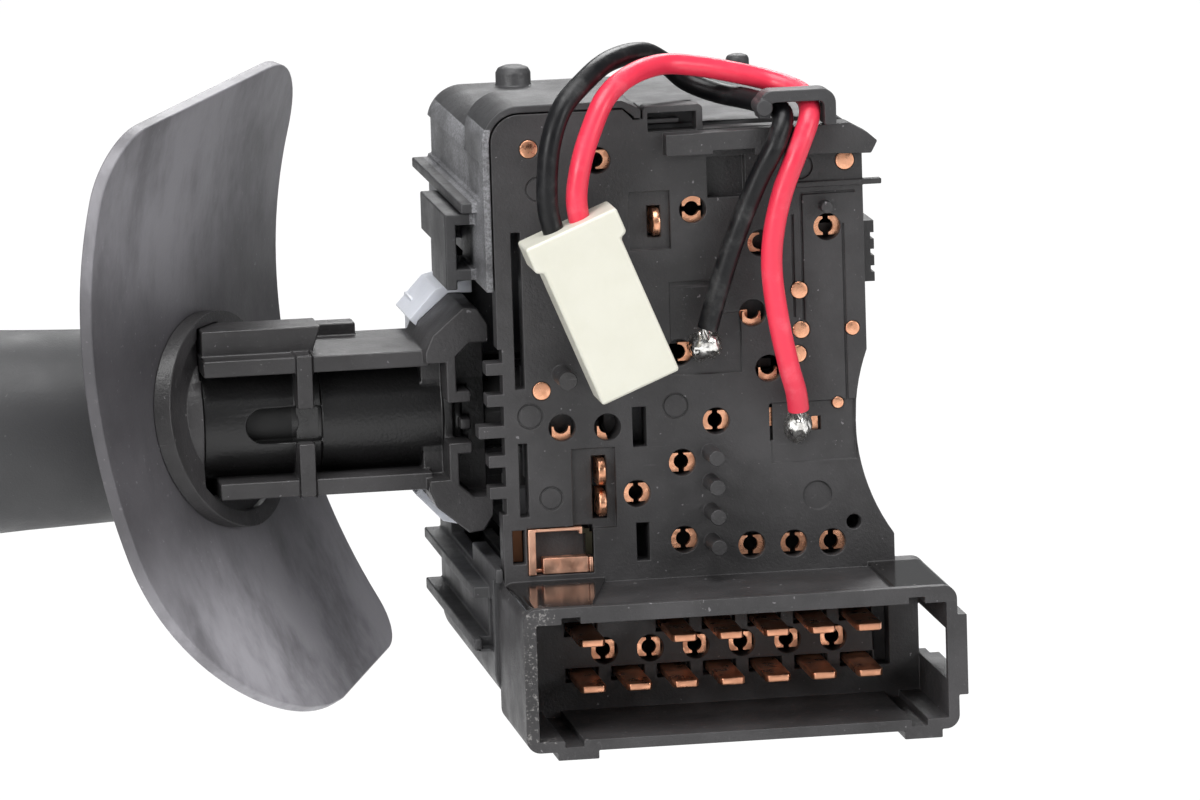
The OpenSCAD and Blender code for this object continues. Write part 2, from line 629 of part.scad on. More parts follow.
module lead_frame() {
    color("#c8784e") prism([skin_t, skin_t + copper_t]) difference() {
        strip_shape(0);
        for (a = access) translate(at(a[0], a[1])) punched(a[2]);
        for (r = rivets) translate(at(r[0], r[1])) circle(d = r[2] + 1.3);
        for (s = slots) face_rect([s[0] - 0.3, s[1] - 0.3, s[2] + 0.3, s[3] + 0.3]);
        for (s = pocket_slots) face_rect([s[0] - 0.3, s[1] - 0.3, s[2] + 0.3, s[3] + 0.3]);
        translate([pivot_x, 0]) circle(r = trunnion_r + 1.8);
        rect([-half_w, -housing_bottom, foot_x, shroud_top + 0.1]);
    }
    color("#c8784e") prism([skin_t, skin_t + copper_t]) difference() {
        header_strip(0);
        for (i = [0:blade_n - 2]) translate([blade_x[i] + pitch / 2, mid_z]) punched("LR");
    }
}

module blade(x, z, leg_z, leg_d) {
    chamfer = 0.9;
    translate([x, 0, z - blade_t / 2]) linear_extrude(blade_t) polygon([
        [-blade_w / 2, face_y + leg_d], [-blade_w / 2, face_y - blade_l + 0.6],
        [-blade_w / 2 + 0.3, face_y - blade_l], [blade_w / 2 - 0.3, face_y - blade_l],
        [blade_w / 2, face_y - blade_l + 0.6], [blade_w / 2, face_y + leg_d]]);
    slab([x - blade_w / 2 + 0.3, x + blade_w / 2 - 0.3], [leg_d - copper_t, leg_d],
        [min(z, leg_z) - blade_t / 2, max(z, leg_z) + blade_t / 2]);
}

module upper_terminals() {
    color("#c07048") for (i = [0:blade_n - 1])
        if (i != empty_upper) blade(blade_x[i], upper_z, upper_z + 3.6, plate_t + 1);
}

module lower_terminals() {
    color("#c07048") for (x = blade_x) blade(x, lower_z, lower_z + 3, plate_t + 2.2);
}

module contact_rivets() {
    color("#e0986c") for (r = rivets)
        rod_y(fx(r[0]), fz(r[1]), r[2] / 2, [-0.05, plate_t]);
}

module blade_contacts() {
    color("#b86a44") for (b = blade_spots) {
        x = [fx(b[0]) - copper_t / 2, fx(b[0]) + copper_t / 2];
        slab(x, [b[2] / 2 - blade_proud, plate_t + 0.2], [fz(b[1]) - b[2] / 2, fz(b[1]) + b[2] / 2]);
        rod_x(x, b[2] / 2, face_y + b[2] / 2 - blade_proud, fz(b[1]));
    }
}

module ground_strap() {
    color("#c8784e") {
        for (b = strap_bars) prism([b[1], strap_d]) face_rect(b[0]);
        prism([strap_d - 0.5, strap_d]) face_rect([strap_bars[0][0][0], strap_bars[0][0][1],
            strap_bars[3][0][2], strap_bars[0][0][1] + 0.4]);
        prism([strap_d - 0.5, strap_d]) face_rect([strap_tab[0] + 0.1, strap_tab[1] + 0.1,
            strap_tab[2] - 0.1, strap_tab[3] - 0.1]);
    }
}

module rod_between(a, b, r) {
    v = b - a;
    translate(a) rotate([0, acos(v[2] / norm(v)), atan2(v[1], v[0])]) cylinder(r = r, h = norm(v));
}

module solder_joints() {
    color("#c9c9c6") for (p = [[black_pad, black_route[0]], [red_pad, red_route[0]]]) {
        translate([p[0][0], face_y + pad_depth, p[0][1]]) difference() {
            sphere(r = 1.5);
            translate([-3, 0, -3]) cube(6);
        }
        rod_between([p[0][0], face_y - 0.5, p[0][1]], p[1], 0.6);
    }
}

module red_wire() {
    color("#e8415a") sweep(smooth(red_route, 2), wire_d / 2, 8);
}

module black_wire() {
    color("#2c2c2e") sweep(smooth(black_route, 2), wire_d / 2, 8, [0.3, 1, 0.1]);
}

// Plug frame: Z runs out of the wires, X across the plug
module at_plug() {
    translate(plug_at) rotate([0, -plug_lean, 0]) children();
}

cavity_w = 2.4;

module plug_housing() {
    color("#ecece2") at_plug() difference() {
        union() {
            translate([-plug_w / 2, -plug_t / 2, -plug_l]) cube([plug_w, plug_t, plug_l]);
            translate([-flange_w / 2, -plug_t / 2, -flange_t]) cube([flange_w, plug_t, flange_t]);
        }
        for (s = [-1, 1]) translate([s * plug_pitch / 2 - cavity_w / 2, -cavity_w / 2, -plug_l - past])
            cube([cavity_w, cavity_w, plug_l - flange_t + past]);
        for (s = [-1, 1]) translate([s * plug_pitch / 2, 0, 0]) {
            translate([0, 0, -plug_l]) cylinder(r = wire_d / 2 + seat_gap, h = plug_l);
            translate([0, 0, -2.4]) cylinder(r = wire_d / 2 + 0.2, h = 2.4 + past);
        }
    }
}

module plug_terminals() {
    color("#c9c4b4") at_plug() for (s = [-1, 1]) translate([s * plug_pitch / 2, 0, 0]) difference() {
        translate([-1.1, -1.1, -plug_l + 2]) cube([2.2, 2.2, plug_l - 6]);
        translate([-0.7, -0.7, -plug_l + 1]) cube([1.4, 1.4, 7]);
    }
}

clip_x = [8.6, 17];
clip_top = 35.6;
clip_t = 1.3;

module wire_clip() {
    low = fz(31.6) + seat_gap;
    color("#343335") difference() {
        union() {
            prism([-3.6, -0.6]) difference() {
                union() {
                    rounded([clip_x[0], clip_x[1]], [low, clip_top], 1.6);
                    rect([clip_x[0] + 1.6, low, clip_x[1], low + 2]);
                }
                rounded([clip_x[0] + clip_t, clip_x[1] - clip_t], [low - 4, clip_top - clip_t], 0.6);
            }
            rod_y(clip_x[0] + 0.6, low + 2.2, 0.9, [-4, -0.4]);
        }
        slab([clip_x[0] - 3, clip_x[0] + 3], [-5, 1], [low - 3, low + 1]);
    }
}

module detent_track() {
    color("#d8d6cc") difference() {
        slab([pivot_x + 16, pivot_x + 22], [detent_d - 3, detent_d + 3], [-7, 7]);
        rod_y(column_x, column_z, column_r + wall + seat_gap, [0, housing_depth]);
        rod_y(pivot_x, 0, tip_reach + run_gap, [0, housing_depth]);
        for (a = [-6.5, 0, 6.5]) rod_y(pivot_x + (tip_reach - 1) * cos(a), (tip_reach - 1) * sin(a),
            1.6, [detent_d - 2.2, detent_d + 2.2]);
    }
}

module swivel_block() {
    arm_z = eye_half + run_gap + 0.1;
    color("#cfcdc4") difference() {
        union() {
            rod_y(pivot_x, 0, trunnion_r, [swivel_d[0] - trunnion_l, swivel_d[0] + 1]);
            slab(arm_x, [swivel_d[0], swivel_d[0] + swivel_front_t], [-arm_z - arm_t, peg_arm + 2]);
            rod_y(pivot_x, peg_arm, peg_r, [swivel_d[0] - 2.8, swivel_d[0] + 1]);
            slab(arm_x, swivel_d, [arm_z, arm_z + arm_t]);
            slab(arm_x, swivel_d, [-arm_z - arm_t, -arm_z]);
            slab([arm_x[0], detent_mouth], detent_block_d, [-arm_z - arm_t, arm_z + arm_t]);
            rod_y(pivot_x, 0, trunnion_r, [swivel_d[1] - 1, rear_bore_end - 1.4]);
        }
        rod_z(pivot_x, axis_y, pin_d / 2 + shaft_gap, [-20, 20]);
        rod_x([detent_bore[0], detent_mouth + past], plunger_d / 2 + shaft_gap,
            face_y + detent_d);
        slab([pivot_x + 6, detent_mouth + past], [0, detent_block_d[1] + past], [arm_z, 20]);
        slab([pivot_x + 6, detent_mouth + past], [0, detent_block_d[1] + past], [-20, -arm_z]);
    }
}

module lever_pin() {
    reach = eye_half + run_gap + arm_t - 0.2;
    color("#b9bbbd") rod_z(pivot_x, axis_y, pin_d / 2, [-reach, reach]);
}

module detent_plunger() {
    y = face_y + detent_d;
    tip = pivot_x + tip_reach - tip_r;
    color("#b9bbbd") {
        rod_x([plunger_root, tip - 1], plunger_d / 2, y);
        translate([tip - 1, y, 0]) rotate([0, 90, 0]) cylinder(r1 = plunger_d / 2, r2 = tip_r, h = 1);
        translate([tip, y, 0]) sphere(r = tip_r);
    }
}

module detent_spring() {
    color("#9a9da0") coil([detent_bore[0] + 0.1, plunger_root - 0.1], face_y + detent_d, 0,
        plunger_d / 2 - 0.55, 0.3, 5);
}

module claw_outline() {
    x = claw_x;
    upper = [[x[0] - 0.2, 7.6], [x[0] + 0.6, 9.4], [x[0] + 4, 12.3], [x[0] + 5.6, 12.1],
        [x[1], 10.4], [x[1], 8.8]];
    polygon(concat(upper, [for (i = [len(upper) - 1:-1:0]) [upper[i][0], -upper[i][1]]]));
}

module claw() {
    rim = 1.2;
    x = claw_x;
    back = claw_d[0] + 4.6;
    difference() {
        prism(claw_d) claw_outline();
        prism([claw_d[0] - past, back]) polygon([[x[0] + 3.1, -7], [x[0] + 3.1, 7], [x[0] + 4.6, 8.4],
            [x[1] + past, 8.4], [x[1] + past, -8.4], [x[0] + 4.6, -8.4]]);
        slab([x[0] - past, x[0] + 4], [claw_d[0] - past, back - 1], [-2.4, 2]);
        prism([claw_d[0] - past, back]) polygon([[x[0] - 1, 6.4], [x[0] + 2, 6.4], [x[0] + 2, -6.4],
            [x[0] - 1, -6.4]]);
        rod_x([x[0] - past, x[1] + past], core_bore_r + 0.2);
    }
    for (z = [2, -2.4 - rim])
        slab([x[0] + 2, x[0] + 4.6], [claw_d[0], back], [z, z + rim]);
    slab([x[0] + 3.6, x[0] + 4.8], [claw_d[0] + 2, back + 0.2], [-1.3, -0.1]);
}

slot = [neck_end + 4.6, neck_end + 12.8];
slot_r = 1.9;
neck_step = 0.25;                    // the neck is thinner beyond the slot

module neck() {
    band = [neck_end + 10, neck_end + 11.8];
    difference() {
        union() {
            rod_x([neck_end, slot[1]], neck_r);
            rod_x([neck_end, claw_x[0] + 4], neck_r - neck_step);
            for (z = [rail_z, -[rail_z[1], rail_z[0]]]) {
                slab([neck_end + (z[0] > 0 ? 0 : 1.4), claw_x[0] + 0.5], [rail_d[0], lever_depth + 4.5], z);
                slab([neck_end + 10.5, claw_x[0] + 0.5], rail_d, z);
            }
            slab(band, [rail_d[0] - 0.2, lever_depth], [-rail_z[1] - 0.1, rail_z[1] + 0.1]);
            slab([neck_end + 11, neck_end + 18.2], [rail_d[1] - 3, rail_d[1]],
                [rail_z[0], rail_z[1] + 1.4]);
            prism([lever_depth - 5, lever_depth + 1]) polygon([[neck_end + 0.2, rail_z[0]],
                [neck_end + 11.6, rail_z[0]], [neck_end + 13.2, rail_z[1] + 2.8],
                [neck_end + 0.2, rail_z[1] + 2.8]]);
        }
        rod_x([neck_end - past, neck_end + 16.5], core_r + seat_gap);
        rod_x([neck_end - past, claw_x[0] + 5], core_bore_r);
        slab([slot[0] + slot_r, slot[1]], [0, lever_depth - 3], [-slot_r, slot_r]);
        rod_y(slot[0] + slot_r, 0, slot_r, [0, lever_depth - 3]);
    }
}

module lever_root() {
    rear = [lever_depth + 5.4, lever_depth + 7.4];
    color("#2f2e30") {
        difference() {
            union() {
                neck();
                claw();
                slab([claw_x[1] - 1.5, pivot_x - 3], rear, [-eye_half, eye_half]);
                slab([pivot_x - 5.2, pivot_x - 2.6], [lever_depth - 4.2, rear[1]],
                    [-eye_half, eye_half]);
                rod_z(pivot_x, axis_y, 4.2, [-eye_half, eye_half]);
                slab([pivot_x, pivot_x + 13], [lever_depth - 1.6, lever_depth + 1.6], [-2.4, 2.4]);
            }
            rod_z(pivot_x, axis_y, pin_d / 2 + shaft_gap, [-20, 20]);
        }
    }
}

shoe_d = [lever_depth + 1, lever_depth + 12];

module wing() {
    x = claw_x[0];
    polygon([[x - 0.4, 9.6], [x + 2.6, 12.8], [x + 6.6, 13.8], [x + 6.6, 12.2], [x + 4, 12.3],
        [x + 0.6, 9.4], [x + 0.4, 8.8]]);
}

module slide_shoe() {
    x = claw_x[0];
    color("#c9ccd4") {
        prism(shoe_d) difference() {
            union() {
                wing();
                mirror([0, 1]) wing();
            }
            claw_outline();
        }
        slab([x + 0.6, x + 3.4], [lever_depth + neck_r + 0.2, shoe_d[1]], [-11, 11]);
    }
}

// Shield frame: Z across the sheet, sheet line through the lever axis
module bent_bar(r, half, low, high) {
    intersection() {
        translate([r, valley_z]) difference() {
            circle(r = r + half, $fn = 96);
            circle(r = r - half, $fn = 96);
        }
        rect([-r / 4, low, r / 2, high]);
    }
}

module across_shield(l) {
    translate([shield_x, axis_y, 0]) rotate([0, 0, -shield_slant]) rotate([90, 0, 0])
        translate([0, 0, -l / 2]) linear_extrude(l) children();
}

function arc(c, r, a, b) = [for (i = [0:6]) c + r * [cos(a + (b - a) * i / 6), sin(a + (b - a) * i / 6)]];

module shield_outline() {
    near = -0.52 * shield_w;
    far = 0.46 * shield_w;
    polygon(concat(
        arc([near + shield_near_r, shield_top - 1.5 - shield_near_r], shield_near_r, 180, 97),
        arc([far - shield_far_r, shield_top + 1 - shield_far_r], shield_far_r, 97, 0),
        arc([far - shield_toe_r, -shield_drop + 2.4 + shield_toe_r], shield_toe_r, 0, -80),
        arc([near + shield_heel_r, -shield_drop + shield_heel_r], shield_heel_r, 275, 180)));
}

module shield() {
    color("#4a494c") difference() {
        intersection() {
            across_shield(3 * shield_w) {
                bent_bar(shield_up_r, shield_t / 2, valley_z, 2 * shield_top);
                bent_bar(shield_low_r, shield_t / 2, -2 * shield_drop, valley_z);
            }
            translate([shield_x - shield_w, axis_y, 0]) rotate([90, 0, 90])
                linear_extrude(3 * shield_w) shield_outline();
        }
        rod_x([shield_x - shield_w, 0], collar_bore_r);
    }
}

module inside_of_shield(offset_x, r, x) {
    intersection() {
        rod_x(x, r);
        across_shield(4 * shield_w) translate([shield_low_r, valley_z])
            circle(r = shield_low_r + offset_x, $fn = 96);
    }
}

hub_r = neck_r + 0.7;                // hub of the collar, level with the neck

module shield_collar() {
    face = -shield_t / 2 - collar_h;
    back = -shield_t / 2 - seat_gap;
    color("#3c3b3d") difference() {
        union() {
            difference() {
                inside_of_shield(back, collar_d / 2, [shield_x - 20, 0]);
                inside_of_shield(face, collar_d, [shield_x - 30, 30]);
                rod_x([shield_x - 30, 0], collar_bore_r);
            }
            difference() {
                inside_of_shield(back, collar_bore_r + 0.2, [shield_x - 20, neck_end - seat_gap]);
                inside_of_shield(face + 0.5, collar_d, [shield_x - 30, 30]);
            }
            inside_of_shield(back, hub_r, [shield_x - 20, neck_end - seat_gap]);
            difference() {
                inside_of_shield(back, collar_bore_r + 0.2, [shield_x - 20, 0]);
                inside_of_shield(face + 0.5, collar_d, [shield_x - 30, 30]);
                slab([shield_x - 30, 0], [-past, lever_depth + 1.2], [0, collar_d]);
                slab([neck_end - seat_gap, 0], [0, lever_depth + 4.5 + seat_gap],
                    [-rail_z[1] - seat_gap, rail_z[1] + seat_gap]);
                rod_x([neck_end - seat_gap, 0], neck_r + seat_gap);
            }
        }
        rod_x([shield_x - 30, 0], core_r + seat_gap);
        slab([neck_end - 0.1, 0], [lever_depth - 5.1, lever_depth + 1.1], [0, rail_z[1] + 2.9]);
    }
}

module handle_core() {
    color("#2b2b2d") difference() {
        rod_x([hub_x[1] + run_gap, neck_end + 16], core_r);
        slab([slot[0] - 0.2, slot[0] + 5.6], [0, lever_depth], [-1.7, 1.7]);
        translate([0, 0, -1.7]) linear_extrude(3.4) polygon([[slot[0] + 5, axis_y - 4.6],
            [slot[0] + 5, axis_y - neck_r], [slot[1] - 0.3, axis_y - neck_r],
            [slot[1] - 0.3, axis_y - core_r + 0.2]]);
        rod_x([hub_x[0], neck_end + 20], core_bore_r);
        for (s = [0, 180]) rotate_about_axis(s) key_wedge(key_window, [fog_x[0] + 2, fog_x[1] - 2], 9);
    }
}

module rotate_about_axis(a) {
    translate([0, axis_y, 0]) rotate([a, 0, 0]) translate([0, -axis_y, 0]) children();
}

module key_wedge(half, x, r) {
    translate([x[0], axis_y, 0]) rotate([90, 0, 90]) linear_extrude(x[1] - x[0])
        polygon([[0, 0], [r * tan(half), r], [-r * tan(half), r]]);
}

module turned(profile) {
    translate([0, axis_y, 0]) rotate([0, 90, 0]) rotate_extrude($fn = 96) polygon(profile);
}

module handle_sleeve() {
    root = handle_root_d / 2;
    color("#39383a") difference() {
        turned([[core_r + seat_gap, sleeve_end], [handle_r - 0.6, sleeve_end], [handle_r, sleeve_end + 0.6],
            [handle_r, sleeve_end + 14], [handle_r - 0.5, sleeve_end + 26], [root + 0.4, shield_x - 18],
            [root, shield_x - 8], [root - 0.2, shield_x + 12], [core_r + seat_gap, shield_x + 12]]);
        turned([[core_r + 1.2, sleeve_end + 2], [handle_r - 2.2, sleeve_end + 2],
            [root - 2, shield_x - 20], [root - 2, shield_x - 10], [core_r + 1.2, shield_x - 10]]);
        inside_of_shield(shield_t / 2 + seat_gap, 40, [shield_x - 60, shield_x + 60]);
        rod_x([neck_end - 0.3, 0], collar_bore_r - 0.5);
    }
}

module marker_ring() {
    r = handle_r - 0.3;
    color("#2e2d2f") turned([[core_r + seat_gap, marker_x[0]], [r - 0.4, marker_x[0]],
        [r, marker_x[0] + 0.4], [r, marker_x[1] - 0.4], [r - 0.4, marker_x[1]],
        [core_r + seat_gap, marker_x[1]]]);
}

module ribs(n, x, r, half) {
    for (i = [0:n - 1]) rotate_about_axis(i * 360 / n) rod_x(x, half, axis_y, r);
}

module fog_ring() {
    r = handle_r + 0.1;
    n = 20;
    color("#39383a") difference() {
        union() {
            turned([[ring_bore_r, fog_x[0]], [r - 0.7, fog_x[0]], [r, fog_x[0] + 0.7],
                [r, fog_x[1] - 0.7], [r - 0.7, fog_x[1]], [ring_bore_r, fog_x[1]]]);
            for (s = [0, 180]) rotate_about_axis(s) key_wedge(key_half, [fog_x[0] + 4, fog_x[1] - 4],
                ring_bore_r + 1);
        }
        rod_x([fog_x[0] - past, fog_x[1] + past], fog_r + seat_gap);
        ribs(n, [fog_x[0] + 2.4, fog_x[1] - 2.4], r + 0.5, 1.1);
    }
}

module fog_tube() {
    color("#d9d7ce") {
        tube_x([fog_x[0] + 1, fog_finger_x + finger_r], fog_r, fog_bore_r);
        rod_z(fog_finger_x, axis_y, finger_r, [-fog_reach - 0.6, -fog_r + 0.5]);
    }
}

module light_knob() {
    r = handle_r + 0.1;
    x = knob_x;
    n = 24;
    color("#39383a") difference() {
        turned([[ring_bore_r, x[1]], [r - 0.7, x[1]], [r, x[1] - 0.7], [r, x[1] - 16],
            [r - 0.8, x[1] - 24], [r - 1.4, x[0] + 4], [r - 2.2, x[0] + 1], [r - 3.2, x[0]],
            [button_d / 2 + run_gap, x[0]], [button_d / 2 + run_gap, hub_x[0]],
            [shaft_r + seat_gap, hub_x[0]], [shaft_r + seat_gap, hub_x[1]],
            [ring_bore_r, hub_x[1]]]);
        ribs(n, [x[1] - 14, x[1] - 2.4], r + 0.5, 1.1);
    }
}

module drive_shaft() {
    color("#d9d7ce") {
        tube_x([hub_x[0], light_finger_x + finger_r], shaft_r, shaft_bore_r);
        rod_y(light_finger_x, 0, finger_r, [lever_depth - light_reach - 1.8, lever_depth - shaft_r + 0.5]);
    }
}

module end_button() {
    r = button_d / 2;
    out = knob_x[0] - button_out;
    color("#252527") turned([[0, out], [r * 0.6, out + 0.3], [r - 0.8, out + 0.9], [r, out + 1.8],
        [r, out + button_h], [r - 1.4, out + button_h], [r - 1.4, out + 2.4], [3.4, out + 2.4],
        [3.4, out + 3.4], [0, out + 3.4]]);
}

module horn_rod() {
    color("#b9bbbd") rod_x([knob_x[0] - button_out + 3.4, light_finger_x + 0.3], rod_r);
}

module button_spring() {
    out = knob_x[0] - button_out;
    color("#9a9da0") coil([out + 3.5, hub_x[0] - 0.1], axis_y, 0, 2.6, 0.3, 3);
}

slide_d = [plate_t + run_gap, plate_t + 3.6];
turn_x = [-5.5, 10];
turn_z = [peg_arm - 2.5, peg_arm + 2];

module turn_slider() {
    color("#cfcdc4") difference() {
        slab(turn_x, slide_d, turn_z);
        slab([pivot_x - peg_r - 0.4, pivot_x + peg_r + 0.4], [0, 20], [0, peg_arm + peg_r + 0.2]);
        for (x = [0.5, 5.5]) slab([x, x + 2.4], [0, 20], [peg_arm - 0.8, peg_arm + 0.8]);
    }
}

module turn_contacts() {
    color("#c07048") for (x = [0.5, 5.5])
        slab([x + seat_gap, x + 2.4 - seat_gap], [slide_d[0] - 0.1, slide_d[1] + 0.4],
            [peg_arm - 0.8 + seat_gap, peg_arm + 0.8 - seat_gap]);
}

flash_x = [5, 10.5];
flash_d = [plate_t + 1.9, lever_depth - 1.6 - run_gap];

module flash_plunger() {
    color("#cfcdc4") difference() {
        slab(flash_x, flash_d, [-4.4, 4.4]);
        slab([flash_x[0] + 1.5, flash_x[1] - 1.5], [0, flash_d[0] + 1.2], [-3, 3]);
    }
}

module flash_contact() {
    color("#c07048") slab([flash_x[0] + 1.6, flash_x[1] - 1.6], [flash_d[0] + 0.2, flash_d[0] + 1.15],
        [-2.9, 2.9]);
}

light_x = [-16.5, -9];

module light_slider() {
    fork = finger_r + fork_gap;
    tip = lever_depth - light_reach + 0.6;
    color("#cfcdc4") difference() {
        union() {
            slab(light_x, slide_d, [-6, 6]);
            for (z = [fork, -fork - 1.8])
                slab([light_finger_x - 1.8, light_finger_x + 1.8], [slide_d[0] + 1, tip], [z, z + 1.8]);
        }
        for (x = [light_x[0] + 0.8, light_x[1] - 1.8]) slab([x, x + 1], [0, slide_d[0] + 1.4], [-4, 4]);
    }
}

module light_contacts() {
    color("#c07048") for (x = [light_x[0] + 0.8, light_x[1] - 1.8])
        slab([x + seat_gap, x + 1 - seat_gap], [slide_d[0] - 0.1, slide_d[0] + 1.35],
            [-4 + seat_gap, 4 - seat_gap]);
}

fog_slide_x = [-16.5, -10];
fog_slide_z = [-14.8, -fog_reach - 2.8];

module fog_slider() {
    fork = finger_r + fork_gap;
    color("#cfcdc4") difference() {
        union() {
            slab(fog_slide_x, [6.4, lever_depth + 5], fog_slide_z);
            for (d = [lever_depth - fork - 2, lever_depth + fork])
                slab([fog_finger_x - 1.4, fog_finger_x + 1.4], [d, d + 2],
                    [fog_slide_z[0] + 1, -fog_reach + 1.4]);
        }
        slab([fog_slide_x[0] + 1.5, fog_slide_x[1] - 1.5], [0, 7.6], [-13.9, -13]);
    }
}

module fog_contact() {
    color("#c07048") slab([fog_slide_x[0] + 1.6, fog_slide_x[1] - 1.6], [6.5, 7.55], [-13.85, -13.05]);
}

module cancel_finger() {
    color("#343335") difference() {
        slab(finger_x, finger_d, finger_z);
        for (z = [14.6, 16.4, 18.2]) slab([finger_x[1] - 0.4, finger_x[1] + 1],
            [0, 20], [z, z + 0.7]);
        rod_x([finger_x[0] - past, finger_x[0] + 4], 1.7, face_y + mid(finger_d), mid(finger_z));
    }
}

function mid(span) = (span[0] + span[1]) / 2;

module cancel_spring() {
    color("#9a9da0") coil([2.1, finger_x[0] + 3.9], face_y + mid(finger_d), mid(finger_z),
        1.2, 0.25, 5);
}

housing();
contact_carrier();
lead_frame();
upper_terminals();
lower_terminals();
contact_rivets();
blade_contacts();
ground_strap();
solder_joints();
red_wire();
black_wire();
plug_housing();
plug_terminals();
wire_clip();
detent_track();
swivel_block();
lever_pin();
detent_plunger();
detent_spring();
lever_root();
slide_shoe();
shield();
shield_collar();
handle_core();
handle_sleeve();
marker_ring();
fog_ring();
fog_tube();
light_knob();
drive_shaft();
end_button();
horn_rod();
button_spring();
turn_slider();
turn_contacts();
flash_plunger();
flash_contact();
light_slider();
light_contacts();
fog_slider();
fog_contact();
cancel_finger();
cancel_spring();
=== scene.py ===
import math

import bmesh
import bpy
from mathutils import Matrix, Vector
from mathutils import noise as ripple


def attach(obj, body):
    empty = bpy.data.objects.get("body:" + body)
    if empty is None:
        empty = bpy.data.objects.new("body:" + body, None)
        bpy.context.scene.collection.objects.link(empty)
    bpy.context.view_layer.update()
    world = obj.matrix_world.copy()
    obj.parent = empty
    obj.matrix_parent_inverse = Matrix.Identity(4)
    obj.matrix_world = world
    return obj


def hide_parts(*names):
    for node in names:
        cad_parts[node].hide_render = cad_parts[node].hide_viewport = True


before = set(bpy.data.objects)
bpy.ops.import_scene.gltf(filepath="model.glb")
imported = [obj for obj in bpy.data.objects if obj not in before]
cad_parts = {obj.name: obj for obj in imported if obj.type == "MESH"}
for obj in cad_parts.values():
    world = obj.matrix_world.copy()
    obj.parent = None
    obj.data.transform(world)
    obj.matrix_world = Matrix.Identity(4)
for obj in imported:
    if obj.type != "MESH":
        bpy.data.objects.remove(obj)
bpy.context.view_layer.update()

link = bpy.context.scene.collection.objects.link

# Camera and studio
# The photograph looks at the contact plate from the front left and a little above,
# from about a metre away. The floor lies clear below the part and stays pale.
camera = bpy.data.objects.new("camera", bpy.data.cameras.new("camera"))
link(camera)
camera.data.lens = 270
camera.data.sensor_width = 36
camera.data.clip_start = 0.05
camera.data.clip_end = 20
camera.location = (-0.15333, -0.98071, 0.16157)
camera.rotation_euler = [math.radians(a) for a in (80.4956, 1.7260, -9.0489)]
bpy.context.scene.camera = camera
bpy.context.scene.view_settings.view_transform = "Standard"


def lamp(name, place, aim, size, power):
    """Round white soft light of a diameter in metres and a power in watts."""
    light = bpy.data.lights.new(name, "AREA")
    light.shape, light.size, light.energy = "DISK", size, power
    stand = bpy.data.objects.new(name, light)
    link(stand)
    stand.location = place
    stand.rotation_euler = (Vector(aim) - Vector(place)).to_track_quat("-Z", "Y").to_euler()


def empty_finish(name):
    """New material, with its tree and its shader."""
    finish = bpy.data.materials.new(name)
    finish.use_nodes = True
    return finish, finish.node_tree, finish.node_tree.nodes["Principled BSDF"]


def either_shader(tree, share, first, second, end):
    """Sends the second shader to the end node where share is 1, and the first elsewhere."""
    pick = tree.nodes.new("ShaderNodeMixShader")
    for value, socket in zip((share, first, second), pick.inputs):
        tree.links.new(value, socket)
    tree.links.new(pick.outputs[0], tree.nodes[end].inputs["Surface"])


lamp("overhead", (-0.1, -0.25, 0.75), (-0.02, -0.03, 0), 0.6, 6.6)
lamp("front_left", (-0.75, -0.75, 0.35), (-0.02, -0.03, 0), 0.5, 5.6)
lamp("front_right", (0.7, -0.7, 0.3), (0, -0.03, 0), 0.5, 3.2)
lamp("back_top", (0.15, 0.6, 0.5), (-0.02, -0.02, 0), 0.4, 3.0)

ambient, floor_height, paper_share, paper_glow = 0.2, -0.078, 0.92, 1.06
sky = bpy.data.worlds.new("white_studio")
bpy.context.scene.world = sky
sky.use_nodes = True
tree = sky.node_tree
seen = tree.nodes.new("ShaderNodeLightPath")
seen_or_through = tree.nodes.new("ShaderNodeMath")
seen_or_through.operation = "MAXIMUM"
tree.links.new(seen.outputs["Is Camera Ray"], seen_or_through.inputs[0])
tree.links.new(seen.outputs["Is Transmission Ray"], seen_or_through.inputs[1])
shown = tree.nodes.new("ShaderNodeBackground")
shown.inputs["Color"].default_value = (1, 1, 1, 1)
shown.inputs["Strength"].default_value = 1
around = tree.nodes["Background"]
around.inputs["Color"].default_value = (0.96, 0.98, 1, 1)
around.inputs["Strength"].default_value = ambient
either_shader(tree, seen_or_through.outputs[0], around.outputs[0], shown.outputs[0], "World Output")

paper, tree, shader = empty_finish("white_paper")
shader.inputs["Base Color"].default_value = (0.86, 0.86, 0.86, 1)
shader.inputs["Roughness"].default_value = 0.9
seen = tree.nodes.new("ShaderNodeLightPath")
share = tree.nodes.new("ShaderNodeMath")
share.operation = "MULTIPLY"
share.inputs[1].default_value = paper_share
tree.links.new(seen.outputs["Is Camera Ray"], share.inputs[0])
lit = tree.nodes.new("ShaderNodeEmission")
lit.inputs["Strength"].default_value = paper_glow
either_shader(tree, share.outputs[0], shader.outputs[0], lit.outputs[0], "Material Output")
sheet = bmesh.new()
bmesh.ops.create_grid(sheet, x_segments=1, y_segments=1, size=4)
bmesh.ops.translate(sheet, verts=sheet.verts, vec=(0, 1, floor_height))
floor = bpy.data.objects.new("floor", bpy.data.meshes.new("floor"))
sheet.to_mesh(floor.data)
floor.data.materials.append(paper)
link(floor)


